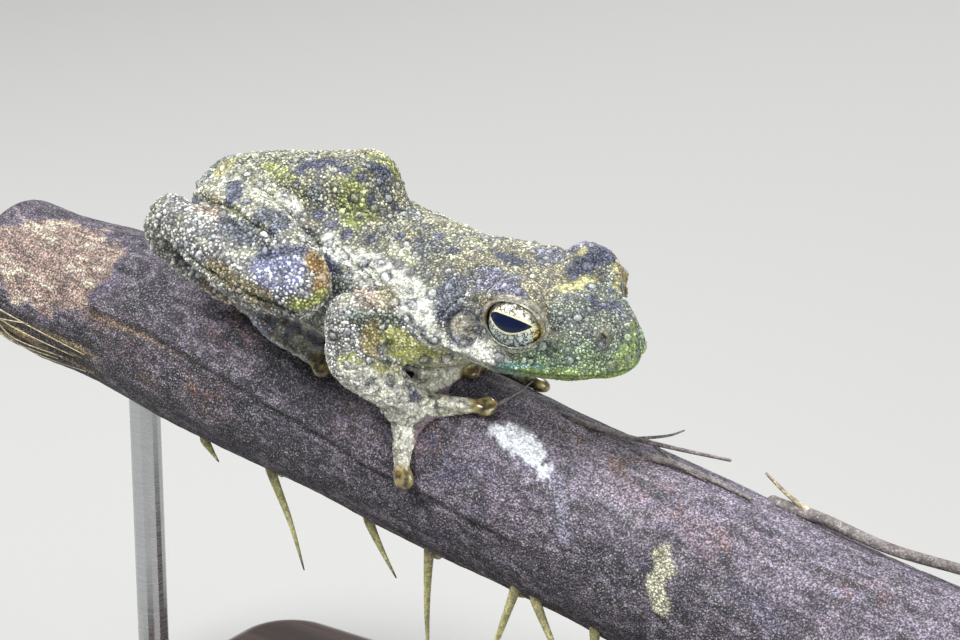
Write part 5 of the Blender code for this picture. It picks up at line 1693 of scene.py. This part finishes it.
def coat_tree(scatter):
    """Studs on a skin, each with its root's place on the unwrapped skin for its bake map."""
    tree = group_tree(
        "scattered_studs" if scatter else "placed_studs",
        (("Geometry", "Geometry", None), ("Stud", "Object", None), ("Unwrapped", "Object", None),
         ("Gap", "Float", 0.0004), ("Size", "Float", 0.0002), ("Part", "Int", 0), ("Seed", "Int", 0),
         ("Material", "Material", None)),
        (("Geometry", "Geometry"),), "GeometryNodeTree")
    g = Graph(tree)
    given = g.add("NodeGroupInput").outputs

    def named(label, kind="FLOAT"):
        return g.add("GeometryNodeInputNamedAttribute", {"Name": label}, data_type=kind).outputs["Attribute"]

    def stored(geometry, label, value, kind="FLOAT_VECTOR", domain="POINT"):
        inputs = {"Geometry": geometry, "Name": label, "Value": value}
        return g.add("GeometryNodeStoreNamedAttribute", inputs, data_type=kind, domain=domain).outputs[0]

    def taken(label):
        return g.add("GeometryNodeObjectInfo", {"Object": given[label]}).outputs["Geometry"]

    def drawn(low, high, seed):
        inputs = {2: low, 3: high, "Seed": seed}
        return g.add("FunctionNodeRandomValue", inputs, data_type="FLOAT").outputs[1]

    if scatter:
        inputs = {0: named("part"), 1: given["Part"], "Epsilon": 0.2}
        part = g.add("FunctionNodeCompare", inputs, data_type="FLOAT", operation="EQUAL").outputs[0]
        inputs = {
            "Mesh": given["Geometry"], "Selection": part, "Distance Min": given["Gap"],
            "Density Max": GRAIN_DENSITY, "Density Factor": named("coat"), "Seed": given["Seed"]}
        sown = g.add("GeometryNodeDistributePointsOnFaces", inputs, distribute_method="POISSON")
        points, lean = sown.outputs["Points"], sown.outputs["Rotation"]
    else:
        points = given["Geometry"]
        way = {"Vector": named("way", "FLOAT_VECTOR")}
        lean = g.add("FunctionNodeAlignRotationToVector", way, axis="Z").outputs[0]
    spin = g.add("ShaderNodeCombineXYZ", {2: drawn(0.0, 6.28, 5)}).outputs[0]
    inputs = {"Rotation": lean, "Rotate By": spin}
    turned = g.add("FunctionNodeRotateRotation", inputs, rotation_space="LOCAL").outputs[0]
    inputs = {"Mesh": taken("Unwrapped"), "Value": named("flat", "FLOAT_VECTOR")}
    root = g.add("GeometryNodeSampleNearestSurface", inputs, data_type="FLOAT_VECTOR").outputs["Value"]
    rooted = stored(stored(points, "root", root), "tone", drawn(0.0, 1.0, 13), "FLOAT")
    patch = stored(taken("Stud"), "patch", g.add("GeometryNodeInputPosition").outputs[0])
    sized = g.times(g.times(drawn(0.6, 1.3, 9), given["Size"]), named("size"))
    inputs = {0: (0.78, 0.78, 0.7), 1: (1.3, 1.3, 1.15), "Seed": 21}
    uneven = g.add("FunctionNodeRandomValue", inputs, data_type="FLOAT_VECTOR").outputs[0]
    inputs = {"Points": rooted, "Instance": patch, "Rotation": turned, "Scale": g.scaled(uneven, sized)}
    studs = g.add("GeometryNodeInstanceOnPoints", inputs).outputs[0]
    real = g.add("GeometryNodeRealizeInstances", {"Geometry": studs}).outputs[0]
    both = g.moved(named("root", "FLOAT_VECTOR"), g.scaled(named("patch", "FLOAT_VECTOR"), PATCH_SIZE))
    mapped = stored(real, "OFBake", both, "FLOAT2", "CORNER")
    dressed = g.add("GeometryNodeSetMaterial", {"Geometry": mapped, "Material": given["Material"]}).outputs[0]
    g.add("NodeGroupOutput", {"Geometry": dressed})
    return tree


def unwrapped_copy(skin):
    """A light copy of the skin, unwrapped, that the coat reads its bake places from."""
    item = skin.copy()
    item.data = skin.data.copy()
    item.name = "unwrapped"
    linked(item)
    step = item.modifiers.new("thin", "DECIMATE")
    step.ratio = LIGHT_SHARE
    settle(item)
    for other in bpy.context.selected_objects:
        other.select_set(False)
    bpy.context.view_layer.objects.active = item
    item.select_set(True)
    bpy.ops.object.mode_set(mode="EDIT")
    bpy.ops.mesh.select_all(action="SELECT")
    bpy.ops.uv.smart_project(angle_limit=math.radians(UNWRAP_ANGLE), island_margin=0.004)
    bpy.ops.object.mode_set(mode="OBJECT")
    item.select_set(False)
    item.data.uv_layers[0].name = "flat"
    return item


def grow_coat(name, source, tree, values):
    """Run a stud tree on a copy of a mesh, keep the plain result, and hand it to the frame."""
    item = linked(bpy.data.objects.new(name, source.data.copy()))
    step = item.modifiers.new("studs", "NODES")
    step.node_group = tree
    for socket in tree.interface.items_tree:
        if socket.in_out == "INPUT" and socket.name in values:
            step[socket.identifier] = values[socket.name]
    settle(item)
    for spare in ("way", "root", "patch", "coat", "part", "size"):
        layer = item.data.attributes.get(spare)
        if layer:
            item.data.attributes.remove(layer)
    finish_piece(item, values["Material"])


# The perch

def bark_distance(bark, place, reach=(1.0, 1.0)):
    """Distance over the bark from a place along the branch and turned from its ridge, in millimetres."""
    across = (bark.turn - place[1] + 180.0) % 360.0 - 180.0
    return np.hypot((bark.along - place[0]) / reach[0], np.radians(across) * BRANCH_RADIUS / reach[1])


def seam_distance(bark):
    """Distance over the bark from its seam, and 1 along the seam's length."""
    over = np.radians(bark.turn - np.interp(bark.along, *np.array(SEAM).T)) * BRANCH_RADIUS
    over += 0.18 * lumps(bark.flat, (3.0, 3.0, 3.0), 61)
    start, end = SEAM[0][0], SEAM[-1][0]
    return over, eased(start - 3.0, start + 2.0, bark.along) * eased(end + 3.0, end - 4.0, bark.along)


def torn_share(bark):
    """1 on the shaggy patch at the back end."""
    return eased(-34.0, -40.0, bark.along) * eased(92.0, 104.0, bark.turn) * eased(150.0, 132.0, bark.turn)


def over_bark(bark, route):
    """Distance over the unrolled bark from a route, given along and across it in millimetres."""
    over = np.stack([bark.along, np.radians(bark.turn) * BRANCH_RADIUS, 0.0 * bark.along], axis=1)
    return distance_to(over, [(*place, 0.0) for place in route])


def bark_relief(bark):
    """Height of the bark over the plain branch."""
    flat = bark.flat
    over, held = seam_distance(bark)
    height = held * (-0.4 * bell(over, 0.2) - 0.42 * eased(0.0, 0.3, over) * eased(9.0, 1.0, over))
    height += held * 0.16 * bell(over + 0.45, 0.4)
    height += 0.08 * lumps(flat, (9.0, 0.7, 0.7), 62) + 0.04 * lumps(flat, (5.0, 0.45, 0.45), 63)
    height += 0.14 * lumps(flat, 5.0, 64) + 0.04 * lumps(flat, 0.9, 65)
    scar = scar_share(bark)
    height += 0.26 * scar * lumps(flat, (3.2, 0.5, 0.5), 66) - 0.14 * scar
    height += 0.3 * bell(scar - 0.5, 0.22) * (0.6 + 0.4 * lumps(flat, 1.6, 67))
    ribs = bell(bark_distance(bark, (-31.5, 42.0), (3.4, 3.2)), 1.0)
    height += 0.2 * ribs * np.sin(np.radians(bark.turn) * BRANCH_RADIUS * 7.0 + 1.5 * lumps(flat, 2.0, 68))
    torn = torn_share(bark)
    height += 0.28 * torn * lumps(flat, (9.0, 0.5, 0.5), 69) - 0.25 * torn
    height += 0.34 * flake_share(bark) * (0.75 + 0.4 * lumps(flat, 0.7, 70))
    return height + 0.07 * dropping_share(bark)


def scar_share(bark):
    """1 on the pale leaf scar near the back end."""
    along, turn = ((bark[k] - SCAR_MIDDLE[k]) / SCAR_REACH[k] for k in (0, 1))
    return eased(1.1, 0.84, np.hypot(along, turn) + 0.2 * lumps(bark.flat, (2.6, 0.8, 0.8), 71))


def flake_share(bark):
    """1 on the pale flake of lichen."""
    route = [(along, math.radians(turn) * BRANCH_RADIUS) for along, turn in FLAKE]
    return eased(1.15, 0.8, over_bark(bark, route) + 0.35 * lumps(bark.flat, 0.8, 72))


def dropping_share(bark):
    """1 on the white patch of dropping in front of the hand."""
    share = np.zeros(len(bark.along))
    for place, reach in DROPPING:
        gap = bark_distance(bark, place) + 0.4 * lumps(bark.flat, 0.7, 73)
        share = np.maximum(share, eased(reach * 1.05, reach * 0.8, gap))
    return share


def spread(bark, places, reach):
    """1 on any of several places, fading over the bark."""
    share = np.zeros(len(bark.along))
    for place in places:
        share = np.maximum(share, bell(bark_distance(bark, place, (1.6, 1.0)), reach))
    return share


def mixed(base, seen, weight):
    """Colours with a colour seen on a screen mixed in by its weight."""
    return base + (np.array(srgb(*seen)) - base) * weight[:, None]


def paint_bark(bark):
    """Purplish grey-brown with pink bloom, rust, shade, the pale scar, dropping and flake. Painted light
    pales the top towards the front end; painted shade darkens the lower side, the underside and the seam's
    crack; pale specks are partly painted glints.
    """
    along, turn, flat = bark
    base = np.tile(bpy.context.scene.tree_frog_stand.bark[:3], (len(along), 1))

    def lay(seen, weight):
        base[:] = mixed(base, seen, np.clip(weight, 0.0, 1.0))

    def blots(low, high, size, seed):
        return eased(low, high, mottle(flat, size, seed))

    def specks(low, high, size, seed):
        return eased(low, high, lumps(flat, size, seed))

    under = eased(170.0, 150.0, turn)
    lay((46, 40, 48), blots(-0.05, 0.4, (6.0, 2.6, 2.6), 81) * 0.8)
    lay((150, 130, 148), blots(0.05, 0.5, (5.0, 2.0, 2.0), 84) * 0.5)
    lay((84, 82, 122), blots(0.1, 0.55, (8.0, 4.0, 4.0), 86) * 0.5)
    # Painted light: paler over the top and the far side towards the front end.
    lay((190, 176, 198), eased(6.0, 30.0, along) * eased(84.0, 24.0, turn) * 0.6)
    # Painted shade: darker on the lower right side and on the underside.
    lay((44, 38, 40), eased(84.0, 104.0, turn) * under * 0.45)
    lay((48, 42, 42), eased(100.0, 128.0, np.abs(turn)) * 0.4)
    lay((36, 32, 36), specks(0.1, 0.45, (9.0, 0.7, 0.7), 62) * 0.5)
    lay((182, 140, 138), spread(bark, BLOOM, 2.1) * specks(-0.3, 0.4, 0.9, 87) * 0.75)
    lay((142, 98, 66), spread(bark, RUST, 2.2) * specks(-0.4, 0.4, 0.9, 88) * 0.8)
    lay((44, 38, 48), spread(bark, SHADE, 3.2) * 0.6)
    # Painted shade: darker below the seam at the back end.
    lay((44, 36, 36), eased(-26.0, -36.0, along) * eased(76.0, 88.0, turn) * under * 0.75)
    lay((28, 25, 30), 0.7 * specks(0.1, 0.45, (2.2, 0.5, 0.5), 93))
    # Pale violet specks: partly the bark's own flecks, partly painted glints.
    lay((180, 166, 184), 0.5 * specks(0.15, 0.5, (1.3, 0.55, 0.55), 94))
    lay((44, 40, 42), 0.35 * specks(0.25, 0.6, (6.0, 0.4, 0.4), 82))
    scar = scar_share(bark)
    lay((194, 164, 150), scar * 0.9)
    lay((242, 230, 204), scar * specks(0.05, 0.35, (3.2, 0.5, 0.5), 66) * 0.9)
    lay((124, 98, 94), scar * specks(0.1, 0.4, (2.2, 0.4, 0.4), 92) * 0.75)
    lay((84, 78, 128), bell(scar - 0.35, 0.25) * 0.8)
    over, held = seam_distance(bark)
    # Painted shadow: near black in the seam's crack under the upper bark's edge.
    lay((16, 13, 15), held * bell(over, 0.26))
    lay((168, 134, 92), held * bell(over - 0.55, 0.35) * eased(-20.0, -36.0, along) * 0.8)
    torn = torn_share(bark)
    lay((60, 46, 46), torn * 0.8)
    lay((196, 168, 112), torn * specks(0.3, 0.6, (9.0, 0.5, 0.5), 69) * 0.8)
    lay((228, 232, 240), dropping_share(bark))
    lay((176, 172, 196), eased(1.3, 0.2, over_bark(bark, RUN) + 0.3 * lumps(flat, 0.9, 90)) * 0.6)
    lay((182, 172, 186), eased(0.8, 0.1, over_bark(bark, STREAK)) * 0.5)
    flake = flake_share(bark)
    lay((226, 222, 192), flake * 0.95)
    lay((120, 118, 84), flake * specks(0.15, 0.5, 0.6, 91) * 0.6)
    return base


def build_perch():
    """The cut branch: its bark in relief, and a sawn face at each end."""
    step = 0.42
    places = np.arange(BRANCH_ENDS[0], BRANCH_ENDS[1] + 0.01, step)
    sides = int(2.0 * math.pi * BRANCH_RADIUS / step)
    turns = -180.0 + 360.0 * np.arange(sides) / sides
    along, turn = (grid.ravel() for grid in np.meshgrid(places, turns, indexing="ij"))
    bark = Bark(along, turn, round_branch(along, turn, 0.0))
    edge = np.minimum(along - BRANCH_ENDS[0], BRANCH_ENDS[1] - along)
    relief = bark_relief(bark) * eased(0.0, 0.8, edge) - 0.25 * eased(0.5, 0.0, edge)
    points = [round_branch(along, turn, relief)]
    colours = [paint_bark(bark)]
    rings = points[0].reshape(len(places), sides, 3)
    faces = [face for face in stacked(rings, rings[0, 0], rings[-1, 0]).faces if len(face) == 4]
    count = len(along)
    for end, row, way in ((BRANCH_ENDS[0], 0, -1.0), (BRANCH_ENDS[1], len(places) - 1, 1.0)):
        centre = np.array((end, 0.0, float(branch_ring(end)[0])))
        last = row * sides
        for k in range(1, SAWN_RINGS):
            ring = centre + (rings[row] - centre) * (1.0 - k / SAWN_RINGS)
            reach = np.linalg.norm(ring - centre, axis=1)
            ring[:, 0] = end - way * (0.1 + 0.05 * lumps(ring, (1.0, 0.5, 4.0), 95))
            years = np.sin(reach * 5.2 + 0.8 * lumps(ring, 3.0, 96))
            tone = 0.5 + 0.3 * years + 0.2 * lumps(ring, 0.5, 97)
            wood = np.array(srgb(160, 128, 92)) * (0.55 + 0.65 * tone[:, None])
            points.append(ring)
            colours.append(np.where((reach < PITH_RADIUS)[:, None], np.array(srgb(104, 78, 58)), wood))
            for s in range(sides):
                n = (s + 1) % sides
                faces.append((last + s, last + n, count + n, count + s))
            last = count
            count += sides
        points.append(centre[None, :] - (way * 0.1, 0.0, 0.0))
        colours.append(np.array([srgb(84, 62, 48)]))
        faces += [(last + s, last + (s + 1) % sides, count) for s in range(sides)]
        count += 1
    finish_shapes(
        "perch_bark", [Shape(placed(BRANCH, np.concatenate(points)), faces)], "bark",
        grained_material("bark", 3600.0, 0.76, 0.5, 0.76, 0.00018), ["stand_perch"],
        tint=np.concatenate(colours),
        wet=np.concatenate([0.4 * dropping_share(bark), np.zeros(count - len(along))]))


def horn(route, radius, tip, flare, sides):
    """A tapering round length along a route in the branch's frame, flared at its root."""
    rows = refine(route, 6)
    share = np.linspace(0.0, 1.0, len(rows))
    size = radius + (tip - radius) * share ** 0.75
    size *= 1.0 + (flare - 1.0) * np.exp(-share * 14.0)
    return limb(list(zip(rows, size, size)), BRANCH, sides, 1)


def finish_horns(name, shapes, tints, finish):
    tint = np.clip(np.concatenate(tints), 0.0, 1.0)
    finish_shapes(name, shapes, "bark", finish, tint=tint, wet=np.zeros(len(tint)))


def build_thorns():
    """The thorns under the branch: straw yellow, dark at the tip, with a woody collar."""
    rng = np.random.default_rng(THORN_SEED)
    shapes = []
    tints = []
    straw = np.array(bpy.context.scene.tree_frog_stand.thorn[:3])
    for along, turn, lean, drop in THORNS:
        root = round_branch(along, turn, -0.8)
        mouth = round_branch(along, turn, 0.1)
        tip = mouth + np.array((lean, 0.06 * mouth[1], -drop))
        bow = np.array((0.05 * drop * rng.uniform(-1.0, 1.0), 0.04 * drop * rng.uniform(-1.0, 1.0), 0.0))
        shapes.append(horn((root, mouth, 0.5 * (mouth + tip) + bow, tip), 0.95, 0.07, 1.8, 20))
        local = seen_from(BRANCH, shapes[-1].points)
        share = np.clip(np.linalg.norm(local - mouth, axis=1) / np.linalg.norm(tip - mouth), 0.0, 1.0)
        colour = straw * (1.15 + 0.35 * lumps(local, (0.9, 0.9, 2.4), 101))[:, None]
        colour = mixed(colour, (112, 98, 80), eased(0.12, 0.0, share))
        colour = mixed(colour, (52, 44, 36), eased(0.8, 0.98, share))
        tints.append(mixed(colour, (126, 128, 74), 0.5 * eased(0.1, 0.6, lumps(local, 1.4, 102))))
    finish_horns("perch_thorns", shapes, tints, grained_material("thorn", 3400.0, 0.3, 0.25, 0.6, 0.00005))


def build_twigs():
    """Dry twigs and loose fibres on the branch."""
    shapes = []
    tints = []
    fibres = tuple((route, 0.11, 0.04) for route in FIBRES)
    for number, (route, radius, tip) in enumerate(TWIGS + fibres):
        shapes.append(horn([round_branch(*place) for place in route], radius, tip, 1.15, 12))
        local = seen_from(BRANCH, shapes[-1].points)
        bump = lumps(local, (1.6, 0.5, 0.5), 111 + number)
        seen = (150, 140, 138) if radius > 0.15 else (222, 206, 166)
        colour = np.array(srgb(*seen)) * (0.8 + 0.3 * bump)[:, None]
        tints.append(mixed(colour, (70, 62, 72), 0.7 * eased(0.35, 0.6, lumps(local, 1.2, 131 + number))))
    finish_horns("perch_twigs", shapes, tints, grained_material("twig", 3200.0, 0.35, 0.3, 0.7, 0.00006))


# Operators

def stand_base():
    """A base with a moulded edge, in the solid's place."""
    low, high = BASE_BOX
    half = [0.5 * (b - a) for a, b in zip(low, high)]
    height = high[2] - low[2]
    quarters = ((1, 1), (-1, 1), (-1, -1), (1, -1))
    angle = np.radians(np.concatenate([np.linspace(k * 90.0, (k + 1) * 90.0, 13) for k in range(4)]))
    middle = np.repeat(quarters, 13, axis=0) * (half[0] - BASE_CORNER, half[1] - BASE_CORNER)
    rings = []
    for inset, level in BASE_EDGE + ((4.4, height),):
        x = middle[:, 0] + (BASE_CORNER - inset) * np.cos(angle)
        y = middle[:, 1] + (BASE_CORNER - inset) * np.sin(angle)
        rings.append(np.stack([x, y, 0.0 * x + level], axis=1))
    shape = stacked(np.array(rings), (0.0, 0.0, 0.0), (0.0, 0.0, height))
    finish_shapes("base_plinth", [shape], "base", wood_material(), ["stand_base"], 38.0)


def stand_collars(steel):
    """A turned collar at the foot of each rod."""
    for side in ("back", "front"):
        low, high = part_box(f"stand_collar_{side}")
        middle = 0.5 * (low + high) / MM
        radius = 0.5 * (high.x - low.x) / MM
        floor, top = low.z / MM, high.z / MM
        rows = (
            (COLLAR_BORE, floor), (radius - 0.3, floor), (radius, floor + 0.3), (radius, floor + 1.0),
            (radius - 0.35, floor + 1.2), (radius - 0.35, floor + 1.5), (radius - 0.05, floor + 1.7),
            (radius - 0.7, top - 0.5), (radius - 1.2, top - 0.12),
            (COLLAR_BORE + 0.2, top), (COLLAR_BORE, top - 0.2))
        points = np.concatenate([level_ring(r, z, COLLAR_SIDES, middle) for r, z in rows])
        faces = []
        for row in range(len(rows)):
            this, above = row * COLLAR_SIDES, (row + 1) % len(rows) * COLLAR_SIDES
            for k in range(COLLAR_SIDES):
                n = (k + 1) % COLLAR_SIDES
                faces.append((this + k, this + n, above + n, above + k))
        shape = Shape(points, faces)
        finish_shapes(f"rod_collar_{side}", [shape], "rod", steel, [f"stand_collar_{side}"], 35.0)


class FROG_OT_skin(bpy.types.Operator):
    """Build the frog's skin in one piece, with its folds, lids and markings, and the warts on it."""

    bl_idname = "tree_frog.skin"
    bl_label = "Skin and warts"

    def execute(self, context):
        skin = raw_skin()
        sculpt(skin)
        triangles = sum(len(face.vertices) - 2 for face in skin.data.polygons)
        step = skin.modifiers.new("thin", "DECIMATE")
        step.ratio = min(1.0, context.scene.tree_frog_skin.faces / triangles)
        settle(skin)
        warts = wart_places(skin)
        paint(skin, [wart[:3] for wart in warts])
        build_warts(skin, warts)
        into_metres(skin)
        finish = grained_material("skin", 3300.0, 0.5, 0.3, 0.52, 0.00009, 0.8, lidded=True)
        finish_piece(skin, finish, FLESH)
        return {"FINISHED"}


def build_warts(skin, warts):
    """A mesh of one point for each wart, which the studs stand on."""
    places = np.array([wart[0] for wart in warts])
    mesh = bpy.data.meshes.new("wart_points")
    mesh.from_pydata((places * MM).tolist(), [], [])
    linked(bpy.data.objects.new("wart_points", mesh))
    tree = search_tree(read(skin.data, "vertices", "co", 3))
    nearest = [tree.find(place)[1] for place in places]
    grey = np.array(FINISHES["slate"][1])
    for name in ("tint", "grain_tint"):
        values = np.zeros(len(skin.data.vertices) * 4, np.float32)
        skin.data.attributes[name].data.foreach_get("color", values)
        keep(mesh, name, 0.62 * values.reshape(-1, 4)[nearest, :3] + 0.38 * grey)
    keep(mesh, "way", np.array([wart[3] for wart in warts]))
    keep(mesh, "size", np.array([wart[1] for wart in warts]))
    keep(mesh, "wet", np.zeros(len(warts)))


class FROG_OT_coat(bpy.types.Operator):
    """Stand grains and warts on the skin, each a small solid stud."""

    bl_idname = "tree_frog.coat"
    bl_label = "Grains and warts"

    def execute(self, context):
        sizes = context.scene.tree_frog_skin
        skin = bpy.data.objects["frog_skin"]
        points = bpy.data.objects["wart_points"]
        flat = unwrapped_copy(skin)
        grain = stud_mesh(((0.0, 0.4), (0.6, 0.26), (1.0, -0.2), (0.0, -0.5)), 5)
        wart = stud_mesh(((0.0, 0.7), (0.42, 0.54), (0.84, 0.14), (1.15, -0.35), (0.0, -0.5)), 8)
        pale = grained_material("grain", 4200.0, 0.42, 0.34, 0.6, 0.00005, 0.3, "grain_tint", True)
        scattered = coat_tree(True)
        for number, (part, gap) in enumerate(PARTS.items()):
            values = {"Gap": gap * sizes.grain_gap, "Size": gap * sizes.grain_size, "Part": number}
            values.update({"Stud": grain, "Unwrapped": flat, "Seed": sizes.seed + number, "Material": pale})
            grow_coat(f"grains_{part}", skin, scattered, values)
        values = {"Stud": wart, "Unwrapped": flat, "Size": MM, "Material": pale}
        grow_coat("warts", points, coat_tree(False), values)
        discard(flat, grain, wart, points)
        return {"FINISHED"}


class FROG_OT_eyes(bpy.types.Operator):
    """Set the two eyeballs in their sockets."""

    bl_idname = "tree_frog.eyes"
    bl_label = "Eyes"

    def execute(self, context):
        finish = eye_material()
        for name, side in (("left", 1.0), ("right", -1.0)):
            eye, gaze, ahead, up = eye_frame(side)
            item = made_object(f"eyeball_{name}", [ball(eye, (EYE_RADIUS,) * 3, HEAD, gaze, 96)])
            outward(item)
            local = seen_from(HEAD, read(item.data, "vertices", "co", 3)) - eye
            keep(item.data, "look", np.stack([local @ ahead, local @ up, local @ gaze], axis=1))
            into_metres(item)
            finish_piece(item, finish, [f"eye_{name}"])
        return {"FINISHED"}


class FROG_OT_perch(bpy.types.Operator):
    """Build the cut branch with its thorns, twigs and fibres."""

    bl_idname = "tree_frog.perch"
    bl_label = "Perch"

    def execute(self, context):
        build_perch()
        build_thorns()
        build_twigs()
        return {"FINISHED"}


class FROG_OT_stand(bpy.types.Operator):
    """Build the base and collars, and finish the rods."""

    bl_idname = "tree_frog.stand"
    bl_label = "Stand"

    def execute(self, context):
        steel = steel_material()
        stand_base()
        stand_collars(steel)
        for side in ("back", "front"):
            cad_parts[f"stand_rod_{side}"].material_slots[0].material = steel
        return {"FINISHED"}


class FROG_OT_stage(bpy.types.Operator):
    """Lay the floor and set the light and the camera."""

    bl_idname = "tree_frog.stage"
    bl_label = "Floor, light and camera"

    def execute(self, context):
        scene = context.scene
        stage = scene.tree_frog_stage
        mesh = bpy.data.meshes.new("floor")
        mesh.from_pydata(level_ring(FLOOR_RADIUS, 0.0, 64).tolist(), [], [tuple(range(64))])
        made, g, shader = new_material("floor_paper")
        paper = g.mix(g.noise(g.place(), 900.0, 3.0), dimmed(stage.floor, 0.97), tuple(stage.floor))
        g.feed(shader, {"Base Color": paper, "Roughness": 0.85})
        mesh.materials.append(made)
        floor = linked(bpy.data.objects.new("floor", mesh))
        turn, rise = stage.azimuth, stage.elevation
        back = Vector((math.sin(turn) * math.cos(rise), -math.cos(turn) * math.cos(rise), math.sin(rise)))
        right = Vector((math.cos(turn), math.sin(turn), 0.0))
        up = back.cross(right)
        middle = Vector(placed(BRANCH, VIEW_MIDDLE)) * MM
        data = bpy.data.cameras.new("camera")
        data.lens = stage.lens
        data.sensor_width = 36.0
        data.clip_start = 0.01
        data.clip_end = 20.0
        camera = linked(bpy.data.objects.new("camera", data))
        facing = Matrix((right, up, back)).transposed().to_4x4()
        camera.matrix_world = Matrix.Translation(middle + back * stage.distance) @ facing
        scene.camera = camera
        for name, (behind, above, beside), distance, size, power in LIGHTS:
            way = back * behind + up * above + right * beside
            data = bpy.data.lights.new(name, "AREA")
            data.shape = "DISK"
            data.size = size
            data.energy = power
            item = linked(bpy.data.objects.new(name, data))
            item.location = middle + way.normalized() * distance
            item.rotation_euler = way.to_track_quat("Z", "Y").to_euler()
        world = bpy.data.worlds.new("studio")
        world.use_nodes = True
        sky = world.node_tree.nodes["Background"].inputs
        sky["Color"].default_value = (0.8, 0.83, 0.86, 1.0)
        sky["Strength"].default_value = 0.26
        scene.world = world
        scene.view_settings.view_transform = "Standard"
        return {"FINISHED"}


class FROG_PT_panel(bpy.types.Panel):
    """Lists the steps that build the model."""

    bl_idname = "FROG_PT_panel"
    bl_label = "Tree frog"
    bl_space_type = "VIEW_3D"
    bl_region_type = "UI"
    bl_category = "Tree frog"

    def draw(self, context):
        for group in ("tree_frog_skin", "tree_frog_stand", "tree_frog_stage"):
            settings = getattr(context.scene, group)
            for name in settings.bl_rna.properties.keys():
                if name not in ("rna_type", "name"):
                    self.layout.prop(settings, name)
        for step in STEPS:
            self.layout.operator(step.bl_idname)


STEPS = (FROG_OT_skin, FROG_OT_coat, FROG_OT_eyes, FROG_OT_perch, FROG_OT_stand, FROG_OT_stage)
CLASSES = (TreeFrogSkin, TreeFrogStand, TreeFrogStage) + STEPS + (FROG_PT_panel,)


def register():
    for item in CLASSES:
        bpy.utils.register_class(item)
    bpy.types.Scene.tree_frog_skin = PointerProperty(type=TreeFrogSkin)
    bpy.types.Scene.tree_frog_stand = PointerProperty(type=TreeFrogStand)
    bpy.types.Scene.tree_frog_stage = PointerProperty(type=TreeFrogStage)


def unregister():
    del bpy.types.Scene.tree_frog_stage
    del bpy.types.Scene.tree_frog_stand
    del bpy.types.Scene.tree_frog_skin
    for item in reversed(CLASSES):
        bpy.utils.unregister_class(item)


def main():
    register()
    bpy.ops.tree_frog.skin()
    bpy.ops.tree_frog.coat()
    bpy.ops.tree_frog.eyes()
    bpy.ops.tree_frog.perch()
    bpy.ops.tree_frog.stand()
    bpy.ops.tree_frog.stage()


if __name__ == "__main__":
    main()
